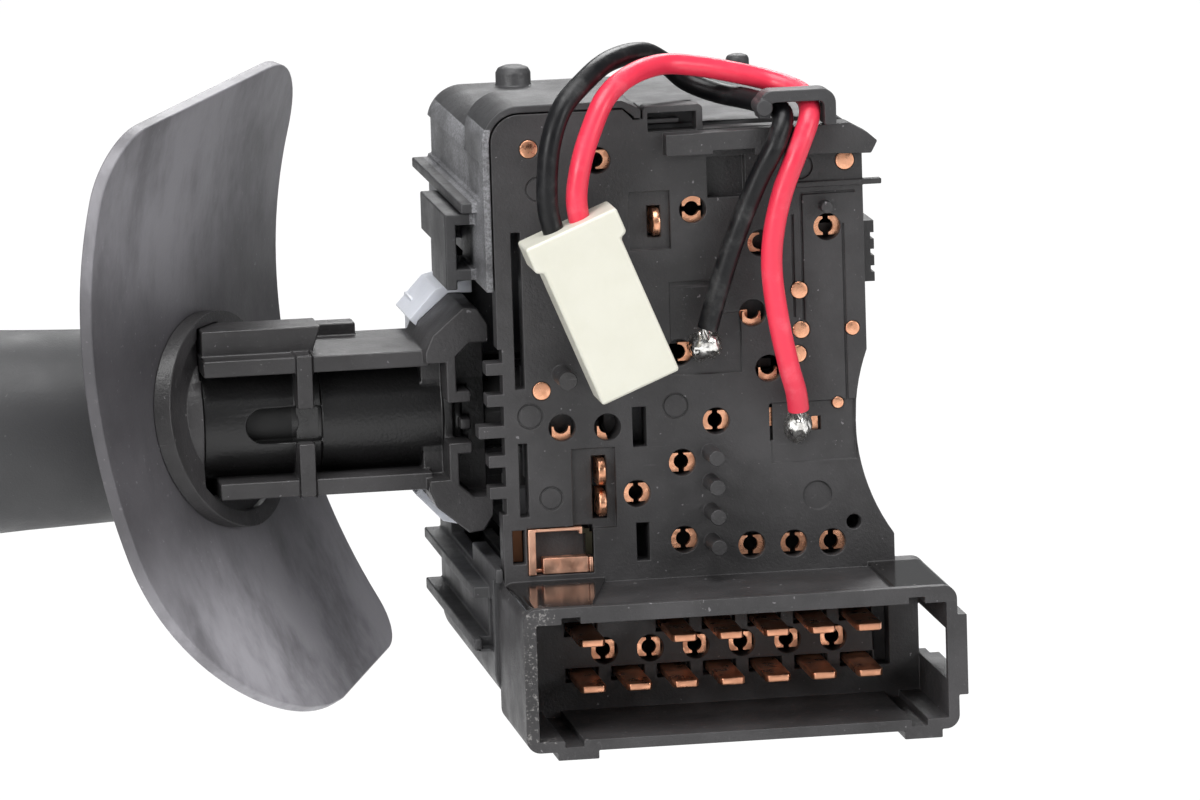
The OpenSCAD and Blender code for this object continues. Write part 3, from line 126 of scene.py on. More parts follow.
# Red and black leads
# Two stranded copper leads in 2.3 mm PVC insulation, soldered to the plate, led over
# the top edge under the bridge of the wire clip and crimped in the white plug.
def noise(tree, size, detail=3.0, rough=0.55, stretch=(1, 1, 1), offset=(0, 0, 0)):
    """Noise whose features are about size metres across, on Object coordinates."""
    place = tree.nodes.new("ShaderNodeTexCoord")
    turn = tree.nodes.new("ShaderNodeMapping")
    turn.inputs["Scale"].default_value = stretch
    turn.inputs["Location"].default_value = offset
    grain = tree.nodes.new("ShaderNodeTexNoise")
    grain.inputs["Scale"].default_value = 1 / size
    grain.inputs["Detail"].default_value = detail
    grain.inputs["Roughness"].default_value = rough
    tree.links.new(place.outputs["Object"], turn.inputs["Vector"])
    tree.links.new(turn.outputs[0], grain.inputs["Vector"])
    return grain.outputs["Fac"]


def span(tree, value, low, high, to_low=0.0, to_high=1.0):
    """Stretches value so that low..high becomes to_low..to_high, clamped."""
    node = tree.nodes.new("ShaderNodeMapRange")
    node.interpolation_type = "SMOOTHSTEP"
    tree.links.new(value, node.inputs["Value"])
    for name, number in zip(("From Min", "From Max", "To Min", "To Max"), (low, high, to_low, to_high)):
        node.inputs[name].default_value = number
    return node.outputs["Result"]


first_colour, second_colour, mixed_colour = 6, 7, 2  # sockets of the Mix node in its colour mode


def blended(tree, share, under, over):
    """Colour under with colour over laid on it where share is 1; each is a colour or a socket."""
    node = tree.nodes.new("ShaderNodeMix")
    node.data_type = "RGBA"
    tree.links.new(share, node.inputs["Factor"])
    for socket, colour in ((node.inputs[first_colour], under), (node.inputs[second_colour], over)):
        if isinstance(colour, tuple):
            socket.default_value = (*colour, 1)
        else:
            tree.links.new(colour, socket)
    return node.outputs[mixed_colour]


def relief(tree, height, depth, under=None):
    """Bump of depth metres from height, on top of another bump if given."""
    node = tree.nodes.new("ShaderNodeBump")
    node.inputs["Strength"].default_value = 1
    node.inputs["Distance"].default_value = depth
    tree.links.new(height, node.inputs["Height"])
    if under is not None:
        tree.links.new(under, node.inputs["Normal"])
    return node.outputs["Normal"]


def product(tree, a, b):
    """Socket with a times b; each is a socket or a number."""
    node = tree.nodes.new("ShaderNodeMath")
    node.operation = "MULTIPLY"
    for socket, value in zip(node.inputs, (a, b)):
        if isinstance(value, float):
            socket.default_value = value
        else:
            tree.links.new(value, socket)
    return node.outputs[0]


def insulation(name, colour, worn, rough, wear):
    """Smooth PVC with slight ripples from the extruder and rubbed, dusty patches."""
    finish, tree, shader = empty_finish(name)
    dusty = span(tree, noise(tree, 0.004, 6, 0.65), 0.5, 0.74, 0, wear)
    cloudy = span(tree, noise(tree, 0.012, 2), 0.3, 0.7)
    shaded = blended(tree, cloudy, tuple(c * 0.82 for c in colour), colour)
    tree.links.new(blended(tree, dusty, shaded, worn), shader.inputs["Base Color"])
    gloss = span(tree, noise(tree, 0.003, 4), 0.3, 0.75, rough - 0.06, rough + 0.16)
    tree.links.new(gloss, shader.inputs["Roughness"])
    rippled = relief(tree, noise(tree, 0.0035, 2), 0.00012)
    tree.links.new(relief(tree, noise(tree, 0.0004, 3), 0.000008, rippled), shader.inputs["Normal"])
    return finish


def rounded_route(points, steps):
    """Catmull-Rom curve through points given in millimetres, in metres."""
    points = [Vector(p) / 1000 for p in points]
    line = []
    for i in range(len(points) - 1):
        a, b, c, d = points[max(i - 1, 0)], points[i], points[i + 1], points[min(i + 2, len(points) - 1)]
        for j in range(steps):
            t = j / steps
            line.append(0.5 * (2 * b + (c - a) * t + (2 * a - 5 * b + 4 * c - d) * t * t
                               + (3 * b - a - 3 * c + d) * t ** 3))
    return line + [points[-1]]


lead_diameter = 0.0023


def lead(name, node, route, finish):
    """Round insulated wire along a route; gives the piece and the line that it follows."""
    line = rounded_route(route, 6)
    curve = bpy.data.curves.new(name, "CURVE")
    curve.dimensions = "3D"
    curve.bevel_depth = lead_diameter / 2
    curve.bevel_resolution = 5
    curve.use_fill_caps = True
    spline = curve.splines.new("POLY")
    spline.points.add(len(line) - 1)
    for point, place in zip(spline.points, line):
        point.co = (*place, 1)
    spline.use_smooth = True
    curve.materials.append(finish)
    piece = bpy.data.objects.new(name, curve)
    link(piece)
    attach(piece, "base")
    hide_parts(node)
    return piece, line


red_route = [
    (12.3, -45.1, 0.9), (12, -45.5, 3), (11.2, -45.9, 6), (10.2, -46.2, 11), (9.6, -46.4, 16.3),
    (9.9, -46.6, 20.6), (11, -46.8, 25), (12.7, -46.8, 29.2), (14.3, -45.4, 32.8), (14.1, -42, 34.6),
    (11.4, -39.4, 35.7), (7.1, -39.2, 36.9), (2.6, -39.8, 37.9), (-1, -41, 38.3), (-4.9, -45, 37.8),
    (-8, -48, 36), (-10, -49.6, 32.6), (-11.2, -50.3, 29.4), (-11.8, -50.4, 26.2), (-11.61, -50.4, 23.6),
    (-10.9, -50.4, 21.7)]
black_route = [
    (2.7, -45, 10.2), (3.7, -45.3, 13.6), (5.6, -45.8, 19.4), (8.2, -46.4, 25.8), (10.3, -46.9, 30),
    (11.4, -45, 33), (9.2, -41, 33.9), (5.8, -37.4, 34.5), (2.8, -35.6, 35.7), (0.6, -35.6, 37.6),
    (-2.4, -38, 39.3), (-6.8, -43, 39.2), (-10.2, -47, 37.6), (-12.9, -49.2, 35.2), (-14.4, -50.2, 31.6),
    (-14.9, -50.4, 27.8), (-14.9, -50.4, 24.8), (-14.39, -50.4, 22.4), (-13.7, -50.4, 20.6)]
red_pvc = insulation("red_insulation", (0.86, 0.036, 0.08), (0.88, 0.2, 0.25), 0.36, 0.35)
black_pvc = insulation("black_insulation", (0.005, 0.005, 0.006), (0.09, 0.09, 0.09), 0.36, 0.45)
black_pvc.node_tree.nodes["Principled BSDF"].inputs["Specular IOR Level"].default_value = 0.3
red_lead, red_line = lead("red_lead", "red_wire", red_route, red_pvc)
black_lead, black_line = lead("black_lead", "black_wire", black_route, black_pvc)


# White two-way plug
# Ivory nylon receptacle housing on the two leads, moulded in one piece with a thick
# rim at the wire end; the tinned crimp receptacles sit inside it.
def settled(rough):
    """The mesh of an object with its modifiers carried out; the object is removed."""
    made = bpy.data.meshes.new_from_object(rough.evaluated_get(bpy.context.evaluated_depsgraph_get()))
    bpy.data.objects.remove(rough)
    return made


def worked(mesh, kind, **settings):
    """The mesh with one modifier carried out."""
    rough = bpy.data.objects.new(mesh.name + "_rough", mesh)
    link(rough)
    modifier = rough.modifiers.new(kind.lower(), kind)
    for setting, value in settings.items():
        setattr(modifier, setting, value)
    return settled(rough)


def finished_piece(name, mesh, finish, body, *nodes):
    """Puts a finished mesh in the scene as the piece that stands for the CAD nodes."""
    mesh.name = name
    if finish:
        mesh.materials.clear()
        mesh.materials.append(finish)
    piece = bpy.data.objects.new(name, mesh)
    link(piece)
    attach(piece, body)
    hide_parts(*nodes)
    return piece


def joined_flats(skin):
    """Joins the triangles of flat faces."""
    bmesh.ops.dissolve_degenerate(skin, edges=skin.edges, dist=1e-6)
    bmesh.ops.dissolve_limit(skin, angle_limit=math.radians(0.05), verts=skin.verts, edges=skin.edges)


rounded_from, sharp_from, room_share = math.radians(28), math.radians(50), 0.4


def dressed(name, nodes, body, round_edge, finish):
    """Merged copy of CAD nodes with smooth round faces and rounded edges, narrower beside thin features."""
    skin = bmesh.new()
    for node in nodes:
        skin.from_mesh(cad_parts[node].data)
    bmesh.ops.remove_doubles(skin, verts=skin.verts, dist=2e-6)
    joined_flats(skin)
    share = skin.edges.layers.float.new("bevel_weight_edge")
    for edge in skin.edges:
        if round_edge and len(edge.link_faces) == 2 and edge.calc_face_angle(0) > rounded_from:
            start = edge.verts[0].co
            along = (edge.verts[1].co - start).normalized()
            room = min(max((v.co - start).cross(along).length for v in face.verts)
                       for face in edge.link_faces)
            edge[share] = min(1, room_share * room / round_edge)
    bmesh.ops.triangulate(skin, faces=[face for face in skin.faces if len(face.verts) > 4])
    mesh = bpy.data.meshes.new(name)
    skin.to_mesh(mesh)
    skin.free()
    mesh.materials.clear()
    if round_edge:
        mesh = worked(mesh, "BEVEL", width=round_edge, segments=2, limit_method="WEIGHT",
                      use_clamp_overlap=False, loop_slide=False)
    skin = bmesh.new()
    skin.from_mesh(mesh)
    joined_flats(skin)
    for face in skin.faces:
        face.smooth = True
    for edge in skin.edges:
        edge.smooth = edge.calc_face_angle(0) < sharp_from
    skin.to_mesh(mesh)
    skin.free()
    made = worked(mesh, "WEIGHTED_NORMAL", weight=100, keep_sharp=True)
    return finished_piece(name, made, finish, body, *nodes)


def moulded(name, colour, paler, rough=0.5, grain=0.00018, depth=0.000012, cloud=0.012, speck=0.25,
            scuff=0.3, milky=0.0):
    """Injection-moulded plastic: spark-eroded grain, flow clouds, fine dust and hairline scratches."""
    finish, tree, shader = empty_finish(name)
    cloudy = span(tree, noise(tree, cloud, 5, 0.6), 0.34, 0.7)
    dust = span(tree, noise(tree, grain * 1.7, 4, 0.7), 0.6, 0.74, 0, speck)
    hairline = span(tree, noise(tree, 0.0005, 2, 0.5, (0.06, 1, 0.9), (3, 1, 2)), 0.68, 0.74, 0, scuff)
    scratch = product(tree, hairline, span(tree, noise(tree, 0.009, 3), 0.48, 0.62))
    tone = blended(tree, cloudy, colour, tuple(0.78 * a + 0.22 * b for a, b in zip(colour, paler)))
    tone = blended(tree, dust, tone, paler)
    mote = span(tree, noise(tree, 0.0007, 2, 0.5, (1, 1, 1), (5, 1, 8)), 0.72, 0.75, 0, speck)
    tone = blended(tree, mote, tone, tuple(min(0.7, 3 * c) for c in paler))
    tree.links.new(blended(tree, scratch, tone, paler), shader.inputs["Base Color"])
    handling_and_sheen = noise(tree, cloud * 0.5, 4, 0.6, (1, 1, 1), (7, 2, 5))
    tree.links.new(span(tree, handling_and_sheen, 0.3, 0.7, rough - 0.07, rough + 0.1), shader.inputs["Roughness"])
    grained = relief(tree, noise(tree, grain, 3, 0.6), depth)
    tree.links.new(relief(tree, noise(tree, 0.006, 2), 0.00004, grained), shader.inputs["Normal"])
    if milky:
        shader.inputs["Subsurface Weight"].default_value = milky
        shader.inputs["Subsurface Radius"].default_value = (0.6, 0.6, 0.65)
        shader.inputs["Subsurface Scale"].default_value = 0.002
    return finish


def metal(name, colour, dull, rough=0.3, patch=0.0015, worn=0.5, brush=(1, 1, 1)):
    """Stamped or turned metal with oxidised patches and fine tool lines."""
    finish, tree, shader = empty_finish(name)
    shader.inputs["Metallic"].default_value = 1.0
    oxide = span(tree, noise(tree, patch, 5, 0.65), 0.42, 0.68, 0, worn)
    tree.links.new(blended(tree, oxide, colour, dull), shader.inputs["Base Color"])
    gloss = span(tree, noise(tree, patch * 0.6, 4), 0.35, 0.7, rough - 0.08, rough + 0.18)
    tree.links.new(gloss, shader.inputs["Roughness"])
    tree.links.new(relief(tree, noise(tree, 0.00012, 3, 0.6, brush), 0.000006), shader.inputs["Normal"])
    return finish


ivory = moulded("ivory_nylon", (0.63, 0.62, 0.535), (0.74, 0.73, 0.66), 0.38, 0.0006, 0.000006, 0.006,
                0.1, 0.25, 0.25)
tinned = metal("tinned_brass", (0.72, 0.71, 0.66), (0.5, 0.48, 0.42), 0.3)
plug_top, plug_lean = Vector((-0.013, -0.0504, 0.023)), math.radians(22)
plug_width, plug_depth, plug_length = 0.009, 0.006, 0.0188
ear_width, ear_length, lead_pitch, socket = 0.0106, 0.0029, 0.003, 0.0024


def plug_block(name, corners, low, high):
    """Prism between two depths on an outline in the plane of the plug."""
    skin = bmesh.new()
    face = skin.faces.new([skin.verts.new((x, low, z)) for x, z in corners])
    raised = bmesh.ops.extrude_face_region(skin, geom=[face])["geom"]
    bmesh.ops.translate(skin, verts=[v for v in raised if isinstance(v, bmesh.types.BMVert)],
                        vec=(0, high - low, 0))
    bmesh.ops.recalc_face_normals(skin, faces=skin.faces)
    mesh = bpy.data.meshes.new(name)
    skin.to_mesh(mesh)
    skin.free()
    block = bpy.data.objects.new(name, mesh)
    link(block)
    return block


half, ear = plug_width / 2, ear_width / 2
body_outline = [(-half, -plug_length), (half, -plug_length), (half, -ear_length - 0.0003), (ear, -ear_length),
                (ear, 0), (-ear, 0), (-ear, -ear_length), (-half, -ear_length - 0.0003)]
block = plug_block("plug_block", body_outline, -plug_depth / 2, plug_depth / 2)
soft = block.modifiers.new("edges", "BEVEL")
soft.width = 0.00035
soft.segments = 4
soft.limit_method = "ANGLE"
soft.angle_limit = math.radians(30)
cutters = [plug_block("socket_cut", [(s * lead_pitch / 2 - socket / 2, -plug_length - 0.001),
                                     (s * lead_pitch / 2 + socket / 2, -plug_length - 0.001),
                                     (s * lead_pitch / 2 + socket / 2, -ear_length),
                                     (s * lead_pitch / 2 - socket / 2, -ear_length)], -socket / 2, socket / 2)
           for s in (-1, 1)]
for cutter in cutters:
    cut = block.modifiers.new("socket", "BOOLEAN")
    cut.operation, cut.object, cut.solver = "DIFFERENCE", cutter, "EXACT"
even = block.modifiers.new("even", "WEIGHTED_NORMAL")
even.weight = 100
for face in block.data.polygons:
    face.use_smooth = True
made = settled(block)
for cutter in cutters:
    bpy.data.objects.remove(cutter)
made.transform(Matrix.Translation(plug_top) @ Matrix.Rotation(-plug_lean, 4, "Y"))
plug = finished_piece("plug", made, ivory, "base", "plug_housing")
crimps = dressed("crimp_receptacles", ["plug_terminals"], "base", 0.0, tinned)
for piece, line, parts in ((red_lead, red_line, [plug]), (black_lead, black_line, [crimps])):
    length = sum((b - a).length for a, b in zip(line, line[1:]))

# Contact plate with the connector shroud
# One dark grey glass-filled nylon moulding, spark-eroded finish on the face; it snaps
# on the front of the housing and carries all copper parts.
def places(tree):
    """Sockets X, Y and Z of the Object coordinates."""
    place = tree.nodes.new("ShaderNodeTexCoord")
    split = tree.nodes.new("ShaderNodeSeparateXYZ")
    tree.links.new(place.outputs["Object"], split.inputs[0])
    return split.outputs


def within(tree, **limits):
    """1 where the Object coordinates lie between the limits, given as x=(low, high) and so on."""
    found = places(tree)
    share = 1.0
    for axis, (low, high) in limits.items():
        node = tree.nodes.new("ShaderNodeMath")
        node.operation = "COMPARE"
        tree.links.new(found[axis.upper()], node.inputs[0])
        node.inputs[1].default_value = (low + high) / 2
        node.inputs[2].default_value = (high - low) / 2
        share = product(tree, node.outputs[0], share)
    return share


def reskinned(finish, share, colour, rough, polished=False):
    """Lays another colour and roughness over the finish where share is 1, without grain if polished."""
    tree = finish.node_tree
    shader = tree.nodes["Principled BSDF"]
    tone, gloss = (shader.inputs[name].links[0].from_socket for name in ("Base Color", "Roughness"))
    tree.links.new(blended(tree, share, tone, colour), shader.inputs["Base Color"])
    mix = tree.nodes.new("ShaderNodeMix")
    tree.links.new(share, mix.inputs[0])
    tree.links.new(gloss, mix.inputs[2])
    mix.inputs[3].default_value = rough
    tree.links.new(mix.outputs[0], shader.inputs["Roughness"])
    if polished:
        left = span(tree, share, 0, 1, 1, 0)
        for node in [n for n in tree.nodes if n.type == "BUMP"]:
            tree.links.new(left, node.inputs["Strength"])


plate_nylon = moulded("plate_nylon", (0.0258, 0.0246, 0.0254), (0.12, 0.115, 0.12), 0.5, 0.00032, 0.00006,
                      0.01, 0.4, 0.4)
tree = plate_nylon.node_tree
# The top of the shroud is polished and carries lint; its left front corner is scraped to a fluff.
ledge = within(tree, y=(-0.058, -0.0431), z=(-0.0169, -0.0160))
lint = span(tree, noise(tree, 0.00045, 2, 0.5, (1, 1, 1), (2, 9, 4)), 0.7, 0.76)
reskinned(plate_nylon, ledge, blended(tree, lint, (0.012, 0.011, 0.011), (0.25, 0.24, 0.23)), 0.14, True)
fluff = span(tree, noise(tree, 0.00035, 4, 0.7, (1, 1, 1), (1, 6, 3)), 0.54, 0.66, 0, 0.7)
scraped = within(tree, x=(-0.0205, -0.0168), y=(-0.0592, -0.0565), z=(-0.031, -0.0158))
reskinned(plate_nylon, product(tree, fluff, scraped), (0.28, 0.27, 0.26), 0.7)
dressed("contact_plate", ["contact_carrier"], "base", 0.00012, plate_nylon)

# Housing
# Black nylon box behind the plate, moulded in one piece, with steps for the
# slides and two locating pegs on the roof.
housing_nylon = moulded("housing_nylon", (0.03, 0.0295, 0.031), (0.13, 0.13, 0.135), 0.5, 0.00036, 0.00005,
                        0.012, 0.32, 0.4)
tree = housing_nylon.node_tree
# The upper half of the wall on the lever's side is rubbed pale.
rubbed = within(tree, x=(-0.0213, -0.0198), z=(-0.004, 0.0325))
for patch in (span(tree, places(tree)["Z"], -0.003, 0.012),
              span(tree, noise(tree, 0.007, 3, 0.6, (1, 0.5, 1)), 0.34, 0.62, 0.25, 0.9),
              span(tree, noise(tree, 0.0003, 4, 0.7), 0.38, 0.62, 0.35, 1)):
    rubbed = product(tree, rubbed, patch)
reskinned(housing_nylon, rubbed, (0.3, 0.3, 0.315), 0.6)
for name, node in (("switch_housing", "housing"), ("lead_clip", "wire_clip")):
    dressed(name, [node], "base", 0.00018, housing_nylon)

# Copper conductors
# Stamped copper-alloy lead frame, seen through the round holes of the plate, with
# flush rivets, upright contact blades and the strap over the lower left corner.
copper = metal("bare_copper", (0.92, 0.47, 0.29), (0.5, 0.19, 0.09), 0.3, 0.0012, 0.4)
strap_copper = metal("strap_copper", (0.95, 0.56, 0.4), (0.75, 0.33, 0.2), 0.42, 0.002, 0.4)
tree = strap_copper.node_tree
# The right leg of the strap and its left end are painted dark, a painted shade where they lie in shadow deep
# in the pocket.
reskinned(strap_copper, within(tree, x=(-0.0112, -0.0095), z=(-0.0141, -0.0105)), (0.035, 0.032, 0.022), 0.3)
reskinned(strap_copper, within(tree, x=(-0.0195, -0.01725), z=(-0.0148, -0.0105)), (0.12, 0.055, 0.03), 0.4)
for name, node, edge, finish in (("lead_frame_strips", "lead_frame", 0.0, copper),
                                 ("upright_contacts", "blade_contacts", 0.00012, copper),
                                 ("corner_strap", "ground_strap", 0.00008, strap_copper)):
    dressed(name, [node], "base", edge, finish)


def recipe(name, sizes):
    """Empty Geometry Nodes tree with named inputs; gives the tree, its inputs and its output node."""
    tree = bpy.data.node_groups.new(name, "GeometryNodeTree")
    tree.interface.new_socket("Geometry", in_out="OUTPUT", socket_type="NodeSocketGeometry")
    tree.interface.new_socket("Geometry", in_out="INPUT", socket_type="NodeSocketGeometry")
    for label, kind in sizes.items():
        tree.interface.new_socket(label, in_out="INPUT", socket_type="NodeSocket" + kind)
    return tree, tree.nodes.new("NodeGroupInput").outputs, tree.nodes.new("NodeGroupOutput")


def joined(tree, kind, **links):
    """New node of a tree; each named input gets a socket or a plain value."""
    node = tree.nodes.new(kind)
    for label, value in links.items():
        socket = node.inputs[label.replace("_", " ")]
        if isinstance(value, bpy.types.NodeSocket):
            tree.links.new(value, socket)
        else:
            socket.default_value = value
    return node


def finished(tree, shape, finish, end):
    """Closes a tree: the shape as plain mesh, in its material."""
    solid = joined(tree, "GeometryNodeRealizeInstances", Geometry=shape)
    painted = joined(tree, "GeometryNodeSetMaterial", Geometry=solid.outputs[0], Material=finish)
    tree.links.new(painted.outputs[0], end.inputs[0])


def growth(base, tree, sizes):
    """Plain mesh that a tree makes of a base mesh with its sizes set."""
    seed = bpy.data.objects.new(base.name + "_seed", base)
    link(seed)
    modifier = seed.modifiers.new("growth", "NODES")
    modifier.node_group = tree
    sockets = {item.name: item.identifier for item in tree.interface.items_tree if item.in_out == "INPUT"}
    for label, value in sizes.items():
        modifier[sockets[label]] = value
    return settled(seed)


# Rivet heads
# Copper rivets closed flush with the plate by a stamp, so that each head is a low dome
# with a bright rubbed top.
head_rise, shank_length = 0.1, 2.4  # as shares of the head's radius
rivets = ((-15.7, 30.2, 1.9), (18.4, 27.3, 2), (-15.1, 4.1, 1.9), (13.1, 13.5, 1.8), (13.2, 9.2, 1.8),
          (12.8, 6.6, 1.8), (18.8, 9.1, 1.5), (17, 1.1, 1.2))
plate_face = -0.043
spots = bpy.data.meshes.new("rivet_spots")
spots.from_pydata([(x / 1000, plate_face, z / 1000) for x, z, size in rivets], [], [])
radii = spots.attributes.new("head", "FLOAT", "POINT")
radii.data.foreach_set("value", [size / 2000 for x, z, size in rivets])
tree, given, end = recipe("rivets_on_spots", {"Rise": "Float", "Shank": "Float"})
dome = joined(tree, "GeometryNodeMeshUVSphere", Segments=28, Rings=12, Radius=1.0)
shank = joined(tree, "GeometryNodeMeshCylinder", Vertices=28, Radius=0.999, Depth=1.0)
length = joined(tree, "ShaderNodeCombineXYZ", X=1.0, Y=1.0, Z=given["Shank"])
drop = joined(tree, "ShaderNodeMath", **{"Value": given["Shank"]})
drop.operation = "MULTIPLY"
drop.inputs[1].default_value = -0.5
under = joined(tree, "ShaderNodeCombineXYZ", X=0.0, Y=0.0, Z=drop.outputs[0])
shank = joined(tree, "GeometryNodeTransform", Geometry=shank.outputs["Mesh"], Scale=length.outputs[0],
               Translation=under.outputs[0])
flat = joined(tree, "ShaderNodeCombineXYZ", X=1.0, Y=1.0, Z=given["Rise"])
dome = joined(tree, "GeometryNodeTransform", Geometry=dome.outputs["Mesh"], Scale=flat.outputs[0])
both = tree.nodes.new("GeometryNodeJoinGeometry")
tree.links.new(dome.outputs[0], both.inputs[0])
tree.links.new(shank.outputs[0], both.inputs[0])
head = joined(tree, "GeometryNodeInputNamedAttribute", Name="head")
placed = joined(tree, "GeometryNodeInstanceOnPoints", Points=given["Geometry"], Instance=both.outputs[0],
                Rotation=(math.radians(90), 0, 0), Scale=head.outputs["Attribute"])
finished(tree, placed.outputs[0], copper, end)
rivet_heads = growth(spots, tree, {"Rise": head_rise, "Shank": shank_length})
finished_piece("rivet_heads", rivet_heads, None, "base", "contact_rivets")

# Header blades
# Two rows of stamped copper blades with clipped tips, pressed through the plate; their
# legs are bent up behind it. The second place of the upper row is empty.
blade_width, blade_thickness, blade_length = 0.0028, 0.0008, 0.0083
tip_length, tip_inset, blade_edge = 0.0006, 0.0003, 0.00013
pitch, row_middle, places_in_row = 0.005, 0.0033, 7
upper_row, lower_row = -0.022, -0.027


def blade_blank(name, leg, leg_back):
    """One blade with its leg, at x 0 and z 0, with softened edges."""
    half, front = blade_width / 2, plate_face - blade_length
    outline = [(-half, plate_face + leg_back), (-half, front + tip_length), (-half + tip_inset, front),
               (half - tip_inset, front), (half, front + tip_length), (half, plate_face + leg_back)]
    skin = bmesh.new()
    corners = [skin.verts.new((x, y, -blade_thickness / 2)) for x, y in outline]
    face = skin.faces.new(corners)
    raised = bmesh.ops.extrude_face_region(skin, geom=[face])["geom"]
    bmesh.ops.translate(skin, verts=[v for v in raised if isinstance(v, bmesh.types.BMVert)],
                        vec=(0, 0, blade_thickness))
    bmesh.ops.bevel(skin, geom=list(skin.edges), offset=blade_edge, segments=3, profile=0.5, affect="EDGES")
    post = bmesh.ops.create_cube(skin, size=1)["verts"]
    bmesh.ops.scale(skin, verts=post, vec=(blade_width - 2 * tip_inset, blade_thickness, leg))
    bmesh.ops.translate(skin, verts=post, vec=(0, plate_face + leg_back - blade_thickness / 2,
                                               leg / 2 - blade_thickness / 2))
    bmesh.ops.recalc_face_normals(skin, faces=skin.faces)
    for face in skin.faces:
        face.smooth = True
    mesh = bpy.data.meshes.new(name)
    skin.to_mesh(mesh)
    mesh.set_sharp_from_angle(angle=math.radians(35))
    blank = bpy.data.objects.new(name, mesh)
    link(blank)
    return blank


tree, given, end = recipe("row_of_blades", {"Blade": "Object", "Count": "Int", "Pitch": "Float",
                                            "Row": "Vector", "Empty": "Int"})
step = joined(tree, "ShaderNodeCombineXYZ", X=given["Pitch"], Y=0.0, Z=0.0)
row = joined(tree, "GeometryNodeMeshLine", Count=given["Count"], Start_Location=given["Row"],
             Offset=step.outputs[0])
number = tree.nodes.new("GeometryNodeInputIndex")
missing = tree.nodes.new("FunctionNodeCompare")
missing.data_type, missing.operation = "INT", "EQUAL"
integers = [socket for socket in missing.inputs if socket.type == "INT"]
tree.links.new(number.outputs[0], integers[0])
tree.links.new(given["Empty"], integers[1])
kept = joined(tree, "GeometryNodeDeleteGeometry", Geometry=row.outputs[0], Selection=missing.outputs[0])
stamped = joined(tree, "GeometryNodeObjectInfo", Object=given["Blade"])
placed = joined(tree, "GeometryNodeInstanceOnPoints", Points=kept.outputs[0],
                Instance=stamped.outputs["Geometry"])
tinted = metal("blade_copper", (0.88, 0.44, 0.27), (0.6, 0.27, 0.16), 0.34, 0.004, 0.4, (1, 0.15, 1))
finished(tree, placed.outputs[0], tinted, end)
row_start = row_middle - (places_in_row - 1) / 2 * pitch
for name, node, height, leg, leg_back, empty in (
        ("upper_blades", "upper_terminals", upper_row, 0.0044, 0.0036, 1),
        ("lower_blades", "lower_terminals", lower_row, 0.0038, 0.0048, -1)):
    blank = blade_blank(name + "_blank", leg, leg_back)
    blades = growth(bpy.data.meshes.new(name + "_base"), tree, {
        "Blade": blank, "Count": places_in_row, "Pitch": pitch, "Row": (row_start, 0, height),
        "Empty": empty})
    finished_piece(name, blades, None, "base", node)
    bpy.data.objects.remove(blank)

# Solder joints
# Hand-made blobs of tin solder over the stripped, twisted strands of the leads, one on
# each of two copper pads of the plate.
solder = metal("solder", (0.86, 0.85, 0.82), (0.2, 0.18, 0.16), 0.16, 0.0008, 0.7)
strand_count = 7
tree, given, end = recipe("twisted_strands", {"Strands": "Int", "Lay": "Float", "Length": "Float",
                                              "Strand": "Float", "Turns": "Float"})
strand = joined(tree, "GeometryNodeCurveSpiral", Resolution=16, Rotations=given["Turns"],
                Start_Radius=given["Lay"], End_Radius=given["Lay"], Height=given["Length"])
section = joined(tree, "GeometryNodeCurvePrimitiveCircle", Resolution=8, Radius=given["Strand"])
strand = joined(tree, "GeometryNodeCurveToMesh", Curve=strand.outputs[0], Profile_Curve=section.outputs[0],
                Fill_Caps=True)
around = joined(tree, "GeometryNodeMeshLine", Count=given["Strands"], Offset=(0, 0, 0))
share = joined(tree, "ShaderNodeMath", Value=tree.nodes.new("GeometryNodeInputIndex").outputs[0])
share.operation = "MULTIPLY"
share.inputs[1].default_value = math.tau / strand_count
turned = joined(tree, "ShaderNodeCombineXYZ", X=0.0, Y=0.0, Z=share.outputs[0])
placed = joined(tree, "GeometryNodeInstanceOnPoints", Points=around.outputs[0], Instance=strand.outputs[0],
                Rotation=turned.outputs[0])
finished(tree, placed.outputs[0], solder, end)


def solder_joint(skin, middle, size, wire_end, seed):
    """Lumpy cap of solder on the pad, with the tinned strands running up into the insulation."""
    middle, wire_end, size = Vector(middle), Vector(wire_end), Vector(size)
    cap = bmesh.ops.create_icosphere(skin, subdivisions=5, radius=1)["verts"]
    for v in cap:
        swell = 1 + 0.16 * ripple.noise(v.co * 1.4 + Vector((seed, 0, 0))) + 0.05 * ripple.noise(v.co * 4)
        lean = (wire_end - middle) * 0.22 * max(0.0, -v.co.y)
        v.co = middle + Vector((v.co.x * size.x, min(v.co.y, 0.12) * size.y, v.co.z * size.z)) * swell + lean
    start = middle + Vector((0, -0.0006, 0))
    along = wire_end - start
    strands = growth(bpy.data.meshes.new("strand_base"), tree, {
        "Strands": strand_count, "Lay": 0.00038, "Length": along.length + 0.0004, "Strand": 0.00021,
        "Turns": 0.45})
    strands.transform(Matrix.Translation(start) @ along.to_track_quat("Z", "Y").to_matrix().to_4x4())
    skin.from_mesh(strands)
    bpy.data.meshes.remove(strands)


skin = bmesh.new()
pad_height = plate_face + 0.0002
for middle, size, route, seed in (((0.0027, pad_height, 0.0081), (0.0019, 0.0015, 0.0018), black_route, 3),
                                  ((0.0125, pad_height, -0.0011), (0.0015, 0.0015, 0.0019), red_route, 8)):
    solder_joint(skin, middle, size, [c / 1000 for c in route[0]], seed)
for face in skin.faces:
    face.smooth = True
caps = bpy.data.meshes.new("solder_blobs")
skin.to_mesh(caps)
skin.free()
finished_piece("solder_blobs", caps, solder, "base", "solder_joints")

